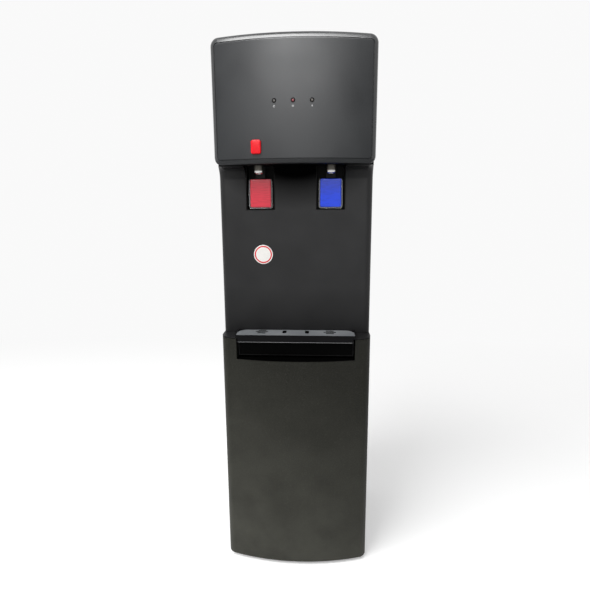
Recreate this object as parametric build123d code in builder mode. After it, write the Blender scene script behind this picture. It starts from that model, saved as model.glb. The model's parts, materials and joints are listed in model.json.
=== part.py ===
from build123d import *
import os
from math import sqrt

# Top-loading water dispenser: head with two taps over a drip tray, storage cabinet below.
# Millimetres, +Z up, the front faces -Y, the origin is on the floor under the middle.

# Overall size
WIDTH = 300.0
HEIGHT = 1055.0
DEPTH = 320.0
BOW = 24.0             # how far the head and door fronts bow out between their side edges

# Walls and clearances
WALL = 2.5             # moulded shells
SHEET = 0.8            # steel panels
GAP = 0.3              # between bodies that move past each other
RUN = 0.05             # radial clearance of a running fit
SEAT = 0.2             # round pieces seated in one body

# Head
HEAD_HEIGHT = 220.0
HEAD_RETURN = 62.0     # from the bowed front to the back of the side returns
HEAD_CORNER = 14.0
HEAD_BEVEL = 8.0
COVER_SKIRT = 25.0

# Column between head and tray
COLUMN_SETBACK = 60.0
COLUMN_CORNER = 14.0
COVE_R = 22.0
COVE_LIP = 6.0
COVE_STEP = 3.0

# Deck and cabinet
DECK_TOP = 503.5
DECK_PLATE = 3.0
CABINET_SETBACK = 8.0  # the door's front stands this far behind the head's front
CABINET_CORNER = 20.0
DOOR_THICK = 58.0
DOOR_BOTTOM = 8.0
FOOT_HEIGHT = 12.0
FOOT_R = 14.0

# Taps
TAP_X = 68.5
SPOUT_SETBACK = 42.0   # spout axis behind the head's front
SPOUT_R = 9.0
SPOUT_DROP = 15.0
PADDLE_WIDTH = 47.0
PADDLE_HEIGHT = 57.5
PADDLE_THICK = 5.0
PADDLE_FROM_HEAD = 23.0
PADDLE_RIM = 3.0
NICHE_MARGIN = 5.0     # open space on each side of a paddle
NICHE_BELOW = 2.5      # open space under a paddle
NICHE_DEPTH = 29.0
PIVOT_SETBACK = 8.0    # pivot behind the column face
PIVOT_RISE = 12.0      # pivot above the head's underside
PIN_R = 2.0
STEM_R = 3.0
STEM_DROP = 14.0       # stem axis below the pivot

# Button, lamps and label
BUTTON_X = -67.5
BUTTON_RISE = 29.5
BUTTON_WIDTH = 18.0
BUTTON_HEIGHT = 24.0
BUTTON_PROUD = 4.5
BUTTON_TRAVEL = 3.0
FLANGE_THICK = 2.0
FLANGE_RIM = 2.0       # retaining flange beyond the button's cap
LAMP_PITCH = 33.5
LAMP_DROP = 113.0
LAMP_R = 3.0
LABEL_X = -65.0
LABEL_DROP = 170.0
LABEL_R = 19.0

# Tray
TRAY_MARGIN = 30.5     # lip ends inside the cabinet's sides
TRAY_LIP = 6.6
TRAY_APRON = 8.6        # how far the tray's front hangs below its lip
TRAY_WALL = 2.0
NOTCH_DROP = 45.5
GRIP_DEPTH = 18.0

# Tanks
COLD_R = 85.0
COLD_HEIGHT = 124.0
COLD_WALL = 0.8
FOAM_WALL = 11.0
HOT_R = 50.0
HOT_HEIGHT = 150.0
HOSE_R = 5.0
HOSE_BORE = 3.5

# Bottle well and seat
WELL_R = 100.0
NECK_R = 32.0
SPIKE_R = 9.0

# Cooling circuit
COMPRESSOR_R = 59.0
COMPRESSOR_HEIGHT = 133.0
TUBE_R = 2.4
CONDENSER_RUNS = 11     # odd, so that the two ends leave on opposite sides
CONDENSER_PITCH = 40.0
CONDENSER_WIRES = 22
WIRE_R = 0.8
SPACER_DEPTH = 21.0

# Planes and heights that the pieces share
HALF = WIDTH / 2
NICHE_WIDTH = PADDLE_WIDTH + 2 * NICHE_MARGIN
NICHE_DROP = PADDLE_FROM_HEAD + PADDLE_HEIGHT + NICHE_BELOW
FRONT = -DEPTH / 2
BACK = DEPTH / 2
HEAD_BOTTOM = HEIGHT - HEAD_HEIGHT
HEAD_BACK = FRONT + HEAD_RETURN
COVER_BOTTOM = HEIGHT - COVER_SKIRT
COLUMN_FACE = FRONT + COLUMN_SETBACK
COLUMN_BACK = COLUMN_FACE + COLUMN_CORNER
DOOR_FRONT = FRONT + CABINET_SETBACK
DOOR_BACK = DOOR_FRONT + DOOR_THICK
DOOR_TOP = DECK_TOP - DECK_PLATE - 1.0
FRAME_FRONT = DOOR_BACK + 5.0      # front plane of the cabinet opening's flange
REAR_SKIN = BACK - SPACER_DEPTH    # outer face of the rear panel
PANEL_IN = REAR_SKIN - SHEET
WELL_Y = (HEAD_BACK + REAR_SKIN + 3.0) / 2
BOW_R = (HALF**2 + BOW**2) / (2 * BOW)

os.makedirs("parts", exist_ok=True)


def save(piece, name):
    """Label a finished piece and write it under its own name."""
    piece.part.label = name
    export_step(piece.part, f"parts/{name}.step")


def bow_back(x):
    """How far the bowed front lies behind its middle at x."""
    return BOW_R - sqrt(BOW_R**2 - x**2)


def bowed_plan(z, half, front, back):
    """Plan outline with a bowed front and straight sides, at height z."""
    side_y = front + bow_back(half)
    with BuildSketch(Plane.XY.offset(z)) as plan:
        with BuildLine():
            Polyline((-half, side_y), (-half, back), (half, back), (half, side_y))
            ThreePointArc((half, side_y), (0, front), (-half, side_y))
        make_face()
    return plan.sketch


def block(x, y, z, mode=Mode.ADD):
    """Box between two limits on each axis, in the builder that calls it."""
    size = [high - low for low, high in (x, y, z)]
    middle = [(high + low) / 2 for low, high in (x, y, z)]
    box = Pos(*middle) * Solid.make_box(*size, Plane((-size[0] / 2, -size[1] / 2, -size[2] / 2)))
    add(box, mode=mode)


def rod(start, end, radius, mode=Mode.ADD):
    """Round bar from start to end, in the builder that calls it."""
    run = Vector(*end) - Vector(*start)
    add(Solid.make_cylinder(radius, run.length, Plane(start, z_dir=run)), mode=mode)


def tube_path(points, radii):
    """Wire through the points with one tangent arc at each corner."""
    with BuildLine() as line:
        FilletPolyline(*points, radius=radii)
    return line.wire()


def swept_tube(points, radii, outer, bore):
    """Hose or pipe along the points."""
    path = tube_path(points, radii)
    with BuildPart() as pipe:
        with BuildSketch(Plane(path @ 0, z_dir=path % 0)) as section:
            Circle(outer)
            if bore:
                Circle(bore, mode=Mode.SUBTRACT)
        sweep(section.sketch, path=path)
    return pipe.part


# Feet and base pan
FOOT_X = HALF - 22.0
FOOT_YS = (FRAME_FRONT + 26.0, PANEL_IN - 22.0)
FOOT_PLACES = [(x, y) for x in (-FOOT_X, FOOT_X) for y in FOOT_YS]
PAN_RIM = 15.0
PAN_SHEET = 1.5

with BuildPart() as feet:
    with Locations(*[(x, y, 0) for x, y in FOOT_PLACES]):
        Cylinder(FOOT_R, FOOT_HEIGHT, align=(Align.CENTER, Align.CENTER, Align.MIN))
    chamfer(feet.edges().group_by(Axis.Z)[0], 1.2)
save(feet, "feet")

COMPRESSOR_X = 28.0
COMPRESSOR_Y = PANEL_IN - COMPRESSOR_R - 11.0
MOUNT_HEIGHT = 12.0
MOUNT_R = 9.0
MOUNT_RING = COMPRESSOR_R + MOUNT_R + 0.8
MOUNT_OUT = 40.0       # mounts in front of and behind the compressor's axis
MOUNT_SIDE = sqrt(MOUNT_RING**2 - MOUNT_OUT**2)
MOUNT_PLACES = [
    (COMPRESSOR_X + sx * MOUNT_SIDE, COMPRESSOR_Y + sy * MOUNT_OUT) for sx in (-1, 1) for sy in (-1, 1)
]
PAN_TOP = FOOT_HEIGHT + PAN_SHEET
STUD_R = 3.0
with BuildPart() as base_pan:
    inside = HALF - SHEET
    block((-inside, inside), (FRAME_FRONT, PANEL_IN), (FOOT_HEIGHT, FOOT_HEIGHT + PAN_RIM))
    block(
        (-inside + PAN_SHEET, inside - PAN_SHEET),
        (FRAME_FRONT + PAN_SHEET, PANEL_IN - PAN_SHEET),
        (PAN_TOP, FOOT_HEIGHT + PAN_RIM + 1),
        Mode.SUBTRACT,
    )
    for x, y in MOUNT_PLACES:
        rod((x, y, PAN_TOP - 0.5), (x, y, PAN_TOP + MOUNT_HEIGHT + 8.0), STUD_R)
save(base_pan, "base_pan")

# Side panels: one outline that steps back for the column and forward again beside the head
for side, outer in (("left", -HALF), ("right", HALF)):
    inward = -1 if outer > 0 else 1
    with BuildPart() as side_panel:
        with BuildSketch(Plane.YZ.offset(outer)):
            with BuildLine():
                Polyline(
                    (FRAME_FRONT - 3.0, FOOT_HEIGHT),
                    (PANEL_IN, FOOT_HEIGHT),
                    (PANEL_IN, COVER_BOTTOM),
                    (HEAD_BACK, COVER_BOTTOM),
                    (HEAD_BACK, HEAD_BOTTOM),
                    (COLUMN_BACK, HEAD_BOTTOM),
                    (COLUMN_BACK, DECK_TOP - DECK_PLATE),
                    (FRAME_FRONT - 3.0, DECK_TOP - DECK_PLATE),
                    close=True,
                )
            make_face()
        extrude(amount=inward * SHEET)
        flange = sorted((outer + inward * SHEET * 0.5, outer + inward * 14.0))
        block(flange, (PANEL_IN - SHEET, PANEL_IN), (FOOT_HEIGHT + PAN_RIM + 1, COVER_BOTTOM))
    save(side_panel, f"side_panel_{side}")

# Head fascia: bowed shell with a bevelled rim, holes for lamps, button and spouts
TAP_XS = {"hot": -TAP_X, "cold": TAP_X}
SPOUT_Y = FRONT + SPOUT_SETBACK
SPOUT_HOLE_R = SPOUT_R + 0.5
LAMP_XS = [-LAMP_PITCH, 0.0, LAMP_PITCH]
LAMP_Z = HEIGHT - LAMP_DROP
LAMP_HOLE_R = LAMP_R + 0.15
BOARD_FRONT = FRONT + 9.0
BOARD_THICK = 1.6
BOARD_HALF = LAMP_PITCH + 14.0
BOARD_RISE = 8.0
PLUG_HALF = 12.0
PLUG_DEPTH = 7.4
BUTTON_Z = HEAD_BOTTOM + BUTTON_RISE
BUTTON_GAP = 0.3
BUTTON_CORNER = 3.5
FLANGE_FRONT = FRONT + bow_back(BUTTON_X - BUTTON_WIDTH / 2 - FLANGE_RIM) + WALL + 0.6
CARRIER_FRONT = FLANGE_FRONT + FLANGE_THICK + BUTTON_TRAVEL + 5.0
CARRIER_THICK = 3.0
CARRIER_HALF = (BUTTON_WIDTH / 2 + 11.0, BUTTON_HEIGHT / 2 + 5.0)
POST_R = 3.0
POSTS = [(x, LAMP_Z) for x in (-BOARD_HALF + 5.0, BOARD_HALF - 5.0)]
CARRIER_POSTS = [
    (BUTTON_X + sx * (CARRIER_HALF[0] - 4.0), BUTTON_Z + sz * (CARRIER_HALF[1] - 4.0))
    for sx in (-1, 1)
    for sz in (-1, 1)
]


def head_block(inset):
    """Solid of the head's front, every face drawn in by inset, open room added at the back."""
    middle = (HEAD_BOTTOM + HEIGHT) / 2
    back = HEAD_BACK + (1.0 if inset else 0.0)
    with BuildPart() as head:
        plan = bowed_plan(HEAD_BOTTOM + inset, HALF - inset, FRONT + inset, back)
        extrude(plan, amount=HEAD_HEIGHT - 2 * inset)
        with BuildSketch(Plane.XZ.offset(-back)):
            with Locations((0, middle)):
                RectangleRounded(WIDTH - 2 * inset, HEAD_HEIGHT - 2 * inset, HEAD_CORNER - inset)
        extrude(amount=back - FRONT + 5, mode=Mode.INTERSECT)
        chamfer(head.faces().sort_by(Axis.Y)[0].edges(), HEAD_BEVEL - 0.6 * inset)
    return head.part


def holes_along_y(places, radius, start, depth, mode):
    """Round bars or holes along Y at the given x, z places, from y = start towards the back."""
    for x, z in places:
        rod((x, start, z), (x, start + depth, z), radius, mode)


with BuildPart() as head_fascia:
    add(head_block(0))
    add(head_block(WALL), mode=Mode.SUBTRACT)
    for places, stop in ((POSTS, BOARD_FRONT), (CARRIER_POSTS, CARRIER_FRONT)):
        for x, z in places:
            start = FRONT + bow_back(x) + WALL / 2
            rod((x, start, z), (x, stop, z), POST_R)
    lamp_cut = bow_back(LAMP_PITCH) + WALL + 3.0
    holes_along_y([(x, LAMP_Z) for x in LAMP_XS], LAMP_HOLE_R, FRONT - 1, lamp_cut, Mode.SUBTRACT)
    with BuildSketch(Plane.XZ.offset(-FRONT + 1)):
        with Locations((BUTTON_X, BUTTON_Z)):
            RectangleRounded(
                BUTTON_WIDTH + 2 * BUTTON_GAP, BUTTON_HEIGHT + 2 * BUTTON_GAP, BUTTON_CORNER + BUTTON_GAP
            )
    extrude(amount=-(bow_back(BUTTON_X - BUTTON_WIDTH / 2) + WALL + 3.0), mode=Mode.SUBTRACT)
    for x in TAP_XS.values():
        rod((x, SPOUT_Y, HEAD_BOTTOM - 1), (x, SPOUT_Y, HEAD_BOTTOM + WALL + 1), SPOUT_HOLE_R, Mode.SUBTRACT)
save(head_fascia, "head_fascia")

# Lamps on their board, behind the fascia
with BuildPart() as led_board:
    board_back = BOARD_FRONT + BOARD_THICK
    block((-BOARD_HALF, BOARD_HALF), (BOARD_FRONT, board_back), (LAMP_Z - BOARD_RISE, LAMP_Z + BOARD_RISE))
    block((-PLUG_HALF, PLUG_HALF), (board_back, board_back + PLUG_DEPTH), (LAMP_Z - 6, LAMP_Z + 5))
save(led_board, "led_board")

with BuildPart() as led_lenses:
    for x in LAMP_XS:
        rod((x, BOARD_FRONT, LAMP_Z), (x, FRONT + bow_back(x) + 1.0, LAMP_Z), LAMP_R)
    fillet(led_lenses.edges().group_by(Axis.Y)[0], 0.8)
save(led_lenses, "led_lenses")

# Child-lock button: cap, retaining flange and guide stem; its carrier and return spring space
BUTTON_FRONT = FRONT + bow_back(BUTTON_X) - BUTTON_PROUD
BUTTON_STEM_R = 4.0
with BuildPart() as child_lock_button:
    with BuildSketch(Plane.XZ.offset(-BUTTON_FRONT)):
        with Locations((BUTTON_X, BUTTON_Z)):
            RectangleRounded(BUTTON_WIDTH, BUTTON_HEIGHT, BUTTON_CORNER)
    extrude(amount=-(FLANGE_FRONT - BUTTON_FRONT))
    fillet(child_lock_button.edges().group_by(Axis.Y)[0], 1.5)
    flange = (BUTTON_WIDTH / 2 + FLANGE_RIM, BUTTON_HEIGHT / 2 + FLANGE_RIM)
    block(
        (BUTTON_X - flange[0], BUTTON_X + flange[0]),
        (FLANGE_FRONT, FLANGE_FRONT + FLANGE_THICK),
        (BUTTON_Z - flange[1], BUTTON_Z + flange[1]),
    )
    stem_end = CARRIER_FRONT + CARRIER_THICK + 3.0
    rod((BUTTON_X, FLANGE_FRONT, BUTTON_Z), (BUTTON_X, stem_end, BUTTON_Z), BUTTON_STEM_R)
save(child_lock_button, "child_lock_button")

with BuildPart() as button_carrier:
    block(
        (BUTTON_X - CARRIER_HALF[0], BUTTON_X + CARRIER_HALF[0]),
        (CARRIER_FRONT, CARRIER_FRONT + CARRIER_THICK),
        (BUTTON_Z - CARRIER_HALF[1], BUTTON_Z + CARRIER_HALF[1]),
    )
    holes_along_y([(BUTTON_X, BUTTON_Z)], BUTTON_STEM_R + RUN, CARRIER_FRONT - 1, 6.0, Mode.SUBTRACT)
save(button_carrier, "button_carrier")

# Column panel: flat face with rounded corners and a cove that sweeps out under the head
NICHE_TOP = HEAD_BOTTOM + 7.0
NICHE_BOTTOM = HEAD_BOTTOM - NICHE_DROP


def column_block(inset):
    """Solid behind the column's face and cove, drawn in by inset."""
    face = COLUMN_FACE + inset
    radius = COVE_R + inset
    arc_y = COLUMN_FACE - COVE_R
    arc_z = HEAD_BOTTOM - COVE_STEP - COVE_R
    bottom = DECK_TOP - (1.0 if inset else 0.0)
    back = COLUMN_BACK + (1.0 if inset else 0.0)
    deep = back + 20.0
    half = HALF - inset
    lip_y = arc_y - COVE_LIP + inset
    with BuildPart() as column:
        with BuildSketch(Plane.YZ.offset(-half)):
            with BuildLine():
                Line((face, bottom), (face, arc_z))
                RadiusArc((face, arc_z), (arc_y, arc_z + radius), -radius)
                Line((arc_y, arc_z + radius), (arc_y - 40, arc_z + radius))
                Line((arc_y - 40, arc_z + radius), (arc_y - 40, HEAD_BOTTOM + 20))
                Line((arc_y - 40, HEAD_BOTTOM + 20), (deep, HEAD_BOTTOM + 20))
                Line((deep, HEAD_BOTTOM + 20), (deep, bottom))
                Line((deep, bottom), (face, bottom))
            make_face()
        extrude(amount=2 * half)
        sides = [e for e in column.edges() if abs(abs(e.center().X) - half) < 0.01]
        rims = [e for e in sides if e.center().Y < face + 1 and e.center().Z < arc_z + radius + 0.01]
        rims = [e for e in rims if e.center().Z > bottom + 1]
        fillet(rims, COLUMN_CORNER - inset)
        top = HEAD_BOTTOM + (1.0 if inset else 0.0)
        wide = (-HALF - 1, HALF + 1)
        block(wide, (lip_y - 60, deep + 1), (top, HEAD_BOTTOM + 30), Mode.SUBTRACT)
        block(wide, (lip_y - 60, lip_y), (bottom - 1, HEAD_BOTTOM + 30), Mode.SUBTRACT)
        block(wide, (back, deep + 1), (bottom - 1, HEAD_BOTTOM + 30), Mode.SUBTRACT)
    return column.part


with BuildPart() as column_panel:
    add(column_block(0))
    add(column_block(WALL), mode=Mode.SUBTRACT)
    for x in TAP_XS.values():
        block(
            (x - NICHE_WIDTH / 2, x + NICHE_WIDTH / 2),
            (FRONT, COLUMN_FACE + WALL + 1),
            (NICHE_BOTTOM, HEAD_BOTTOM + 1),
            Mode.SUBTRACT,
        )
save(column_panel, "column_panel")

# Tap niches behind the paddles, open to the front and the top
NICHE_BACK = COLUMN_FACE + NICHE_DEPTH
PIVOT_Y = COLUMN_FACE + PIVOT_SETBACK
PIVOT_Z = HEAD_BOTTOM + PIVOT_RISE
STEM_Z = PIVOT_Z - STEM_DROP
NICHE_WALL = 1.5
NICHE_FRONT = max(HEAD_BACK + 0.1, COLUMN_FACE + 2.0)
with BuildPart() as niche_liners:
    for x in TAP_XS.values():
        half = NICHE_WIDTH / 2 - SEAT
        block((x - half, x + half), (NICHE_FRONT, NICHE_BACK), (NICHE_BOTTOM + SEAT, NICHE_TOP))
        half -= NICHE_WALL
        block(
            (x - half, x + half),
            (NICHE_FRONT - 1, NICHE_BACK - NICHE_WALL),
            (NICHE_BOTTOM + SEAT + NICHE_WALL, NICHE_TOP + 1),
            Mode.SUBTRACT,
        )
        rod((x, NICHE_BACK - 3, STEM_Z), (x, NICHE_BACK + 1, STEM_Z), STEM_R + 0.5, Mode.SUBTRACT)
save(niche_liners, "niche_liners")

# Taps: valve block behind the niche, elbow tube to the spout, ears for the paddle's pivot
TUBE_Z = HEAD_BOTTOM + 25.0
ELBOW_R = 7.0
KNUCKLE_R = ELBOW_R + 1.0  # upright tube that the level one runs into
VALVE_BACK = NICHE_BACK + 17.0
VALVE_HALF = 12.0
SPOUT_TOP = HEAD_BOTTOM + 10.0
EAR_GAP = 9.5
EAR_WIDTH = 3.0
EAR_Y = (PIVOT_Y - 5.0, PIVOT_Y + 5.0)
with BuildPart() as tap_bodies:
    for x in TAP_XS.values():
        block((x - VALVE_HALF, x + VALVE_HALF), (NICHE_BACK, VALVE_BACK), (STEM_Z - 10, TUBE_Z + ELBOW_R))
        rod((x, NICHE_BACK + 1, TUBE_Z), (x, SPOUT_Y, TUBE_Z), ELBOW_R)
        rod((x, SPOUT_Y, TUBE_Z + KNUCKLE_R), (x, SPOUT_Y, SPOUT_TOP), KNUCKLE_R)
        saddle = EAR_GAP + EAR_WIDTH
        block((x - saddle, x + saddle), EAR_Y, (PIVOT_Z + 6, TUBE_Z + ELBOW_R - 1))
        for ear in (-1, 1):
            span = sorted((x + ear * EAR_GAP, x + ear * saddle))
            block(span, EAR_Y, (PIVOT_Z - 5, PIVOT_Z + 7))
        pin = saddle + 1
        rod((x - pin, PIVOT_Y, PIVOT_Z), (x + pin, PIVOT_Y, PIVOT_Z), PIN_R + RUN, Mode.SUBTRACT)
        rod((x, NICHE_BACK - 1, STEM_Z), (x, VALVE_BACK - 4, STEM_Z), STEM_R + RUN, Mode.SUBTRACT)
save(tap_bodies, "tap_bodies")

SPOUT_BORE = 5.0
with BuildPart() as spouts:
    for x in TAP_XS.values():
        rod((x, SPOUT_Y, HEAD_BOTTOM - SPOUT_DROP), (x, SPOUT_Y, SPOUT_TOP), SPOUT_R)
        rod((x, SPOUT_Y, HEAD_BOTTOM + WALL), (x, SPOUT_Y, HEAD_BOTTOM + WALL + 2), SPOUT_R + 4)
    chamfer(spouts.edges().group_by(Axis.Z)[0], 2.5)
    for x in TAP_XS.values():
        rod(
            (x, SPOUT_Y, HEAD_BOTTOM - SPOUT_DROP - 1),
            (x, SPOUT_Y, HEAD_BOTTOM + 5),
            SPOUT_BORE,
            Mode.SUBTRACT,
        )
save(spouts, "spouts")

# Paddles: lever on its pin, clear frame in front of it, coloured insert in the frame
FRAME_TOP = HEAD_BOTTOM - PADDLE_FROM_HEAD
FRAME_BOTTOM = FRAME_TOP - PADDLE_HEIGHT
PADDLE_FRONT = PIVOT_Y - PADDLE_THICK
ARM_HALF = EAR_GAP - 0.5
PLATE_THICK = 2.0
INSERT_THICK = 2.4
PADDLE_CORNER = 6.0
STEM_FRONT = PIVOT_Y + 1.0 + GAP
STEM_BACK = VALVE_BACK - 7.5
for side, x in TAP_XS.items():
    with BuildPart() as paddle_lever:
        plate = PADDLE_WIDTH / 2 - PADDLE_RIM - 1.0
        block((x - plate, x + plate), (PIVOT_Y, PIVOT_Y + PLATE_THICK), (FRAME_BOTTOM + 6, FRAME_TOP - 4))
        block((x - ARM_HALF, x + ARM_HALF), (PIVOT_Y - 3, PIVOT_Y + 1), (FRAME_TOP + 1, PIVOT_Z))
        block((x - ARM_HALF, x + ARM_HALF), (PIVOT_Y, PIVOT_Y + 1), (FRAME_TOP - 6, FRAME_TOP + 2))
        rod((x - ARM_HALF, PIVOT_Y, PIVOT_Z), (x + ARM_HALF, PIVOT_Y, PIVOT_Z), 4.0)
        reach = EAR_GAP + EAR_WIDTH
        rod((x - reach, PIVOT_Y, PIVOT_Z), (x + reach, PIVOT_Y, PIVOT_Z), PIN_R)
    save(paddle_lever, f"paddle_lever_{side}")

    with BuildPart() as paddle_frame:
        with BuildSketch(Plane.XZ.offset(-PADDLE_FRONT)):
            with Locations((x, (FRAME_TOP + FRAME_BOTTOM) / 2)):
                RectangleRounded(PADDLE_WIDTH, PADDLE_HEIGHT, PADDLE_CORNER)
        extrude(amount=-PADDLE_THICK)
        pocket = (PADDLE_WIDTH / 2 - PADDLE_RIM, PADDLE_HEIGHT / 2 - PADDLE_RIM)
        middle = (FRAME_TOP + FRAME_BOTTOM) / 2
        block(
            (x - pocket[0], x + pocket[0]),
            (PADDLE_FRONT - 1, PADDLE_FRONT + INSERT_THICK + 0.1),
            (middle - pocket[1], middle + pocket[1]),
            Mode.SUBTRACT,
        )
    save(paddle_frame, f"paddle_frame_{side}")

    with BuildPart() as paddle_insert:
        block(
            (x - pocket[0] + SEAT, x + pocket[0] - SEAT),
            (PADDLE_FRONT + 0.1, PADDLE_FRONT + INSERT_THICK + 0.1),
            (middle - pocket[1] + SEAT, middle + pocket[1] - SEAT),
        )
        fillet(paddle_insert.edges().group_by(Axis.Y)[0], 0.8)
    save(paddle_insert, f"paddle_insert_{side}")

    with BuildPart() as valve_stem:
        rod((x, STEM_FRONT, STEM_Z), (x, STEM_BACK, STEM_Z), STEM_R)
        chamfer(valve_stem.edges().group_by(Axis.Y)[0], 0.5)
    save(valve_stem, f"valve_stem_{side}")

# Round label on the column
with BuildPart() as sticker_disc:
    label_z = HEAD_BOTTOM - LABEL_DROP
    rod((LABEL_X, COLUMN_FACE, label_z), (LABEL_X, COLUMN_FACE - 0.4, label_z), LABEL_R)
save(sticker_disc, "sticker_disc")

# Deck: shoulder plate over the door, channel for the tray, wall above the cabinet opening
NOTCH_HALF = HALF - TRAY_MARGIN - 1.0
NOTCH_BOTTOM = DECK_TOP - NOTCH_DROP
CHANNEL_OUT = NOTCH_HALF - 2.5
CHANNEL_WALL = 1.8
CHANNEL_FLOOR = NOTCH_BOTTOM + 4.8
CHANNEL_FRONT = COLUMN_FACE - 26.0
CHANNEL_BASE = 2.2
TRAY_FLOOR = CHANNEL_FLOOR + CHANNEL_BASE + GAP
WING_BOTTOM = DECK_TOP - DECK_PLATE
DECK_REAR = COLUMN_BACK + 2.0
FRAME_IN = HALF - SHEET
FRAME_THICK = 2.0


def cabinet_block(inset, bottom, top, back):
    """Solid of the lower front: bowed, with rounded vertical corners, drawn in by inset."""
    with BuildPart() as cabinet:
        plan = bowed_plan(bottom, HALF - inset, DOOR_FRONT + inset, back + 30)
        extrude(plan, amount=top - bottom)
        uprights = cabinet.edges().filter_by(Axis.Z).sort_by(Axis.Y)[0:2]
        fillet(uprights, CABINET_CORNER - inset)
        block((-HALF - 1, HALF + 1), (back, back + 31), (bottom - 1, top + 1), Mode.SUBTRACT)
    return cabinet.part


HINGE_X = HALF - 8.0
HINGE_Y = DOOR_BACK - 8.0
HINGE_R = 2.5
with BuildPart() as deck:
    add(cabinet_block(0, WING_BOTTOM, DECK_TOP, COLUMN_BACK))
    block((-FRAME_IN, FRAME_IN), (COLUMN_BACK - 1, DECK_REAR), (WING_BOTTOM, DECK_TOP))
    channel = (-CHANNEL_OUT, CHANNEL_OUT)
    block(channel, (FRONT, COLUMN_FACE), (WING_BOTTOM - 1, DECK_TOP + 1), Mode.SUBTRACT)
    block(channel, (CHANNEL_FRONT, COLUMN_FACE + 2), (CHANNEL_FLOOR, CHANNEL_FLOOR + CHANNEL_BASE))
    block(channel, (COLUMN_FACE, COLUMN_FACE + 2), (CHANNEL_FLOOR, DECK_TOP))
    for side in (-1, 1):
        edge = sorted((side * CHANNEL_OUT, side * (CHANNEL_OUT - CHANNEL_WALL)))
        block(edge, (CHANNEL_FRONT, FRAME_FRONT + FRAME_THICK), (CHANNEL_FLOOR, WING_BOTTOM + 1))
        post = sorted((side * (CHANNEL_OUT - CHANNEL_WALL), side * FRAME_IN))
        block(post, (FRAME_FRONT, FRAME_FRONT + FRAME_THICK), (CHANNEL_FLOOR, WING_BOTTOM + 1))
    pin_top = (HINGE_X, HINGE_Y, DECK_TOP - 1)
    rod((HINGE_X, HINGE_Y, WING_BOTTOM - 1), pin_top, HINGE_R + RUN, Mode.SUBTRACT)
save(deck, "deck")

# Drip tray: box in the channel, wide lip in front, apron with a bead along its lower edge
LIP_HALF = HALF - TRAY_MARGIN
LIP_BOTTOM = DECK_TOP + GAP
LIP_TOP = LIP_BOTTOM + TRAY_LIP
LIP_BACK = COLUMN_FACE - 1.0
LIP_FRONT = COLUMN_FACE - 47.0
LIP_CORNER = 3.0
GRILLE_CORNER = 20.0
BEAD = 0.8
BEAD_HEIGHT = 1.6
APRON_HALF = CHANNEL_OUT - 2.3  # clears the edge of the opening door
APRON_THICK = 3.0
BOX_HALF = CHANNEL_OUT - CHANNEL_WALL - 0.5
BOX_FRONT = COLUMN_FACE - 28.0
BOX_BACK = COLUMN_FACE - 2.0


def lip_block(inset, low, high, rear=0.0, mode=Mode.ADD):
    """Slab of the tray's lip between two heights, its rear corners rounded if asked."""
    with BuildPart() as lip:
        with BuildSketch(Plane.XY.offset(low)):
            middle = (LIP_FRONT + LIP_BACK) / 2
            with Locations((0, middle)):
                Rectangle(2 * (LIP_HALF - inset), LIP_BACK - LIP_FRONT - 2 * inset)
        extrude(amount=high - low)
        corners = lip.edges().filter_by(Axis.Z).sort_by(Axis.Y)
        fillet(corners[0:2], max(LIP_CORNER - inset, 0.5))
        if rear:
            fillet(corners[2:4], rear)
    add(lip.part, mode=mode)


with BuildPart() as drip_tray:
    lip_block(0, LIP_BOTTOM, LIP_TOP)
    apron = (-APRON_HALF, APRON_HALF)
    apron_foot = LIP_BOTTOM - TRAY_APRON
    block(apron, (LIP_FRONT, LIP_FRONT + APRON_THICK), (apron_foot, LIP_BOTTOM + 1))
    block(apron, (LIP_FRONT - BEAD, LIP_FRONT + 1), (apron_foot, apron_foot + BEAD_HEIGHT))
    block((-BOX_HALF, BOX_HALF), (BOX_FRONT, BOX_BACK), (TRAY_FLOOR, LIP_BOTTOM + 1))
    lip_block(TRAY_WALL, LIP_BOTTOM + TRAY_WALL, LIP_TOP + 1, mode=Mode.SUBTRACT)
    block(
        (-BOX_HALF + TRAY_WALL, BOX_HALF - TRAY_WALL),
        (BOX_FRONT + TRAY_WALL, BOX_BACK - TRAY_WALL),
        (TRAY_FLOOR + TRAY_WALL, LIP_TOP + 1),
        Mode.SUBTRACT,
    )
save(drip_tray, "drip_tray")

# Grille: slotted plate standing on ribs inside the lip
GRILLE_THICK = 2.2
GRILLE_TOP = LIP_TOP - 0.4
GRILLE_FOOT = LIP_BOTTOM + TRAY_WALL + GAP
SLOT_WIDTH = 6.0
SLOT_PITCH = 9.0
SLOT_LENGTH = 26.0
MIDDLE_SLOT = (20.0, 8.0)
with BuildPart() as tray_grille:
    lip_block(TRAY_WALL + GAP, GRILLE_TOP - GRILLE_THICK, GRILLE_TOP, GRILLE_CORNER)
    for x in (-LIP_HALF + 8, -TAP_X / 2, TAP_X / 2, LIP_HALF - 8):
        rib_y = (LIP_FRONT + TRAY_WALL + 10, BOX_FRONT - 0.5)
        block((x - 1, x + 1), rib_y, (GRILLE_FOOT, GRILLE_TOP - 1))
    for x in (-TAP_X, TAP_X):
        for row in (-1, 0, 1):
            with BuildSketch(Plane.XY.offset(GRILLE_TOP + 1)):
                with Locations((x, SPOUT_Y + row * SLOT_PITCH)):
                    SlotOverall(SLOT_LENGTH - abs(row) * SLOT_PITCH, SLOT_WIDTH)
            extrude(amount=-GRILLE_THICK - 2, mode=Mode.SUBTRACT)
    with BuildSketch(Plane.XY.offset(GRILLE_TOP + 1)):
        with Locations(*[(x, SPOUT_Y) for x in (-TAP_X / 3, TAP_X / 3)]):
            SlotOverall(*MIDDLE_SLOT, rotation=90)
    extrude(amount=-GRILLE_THICK - 2, mode=Mode.SUBTRACT)
save(tray_grille, "tray_grille")

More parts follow.
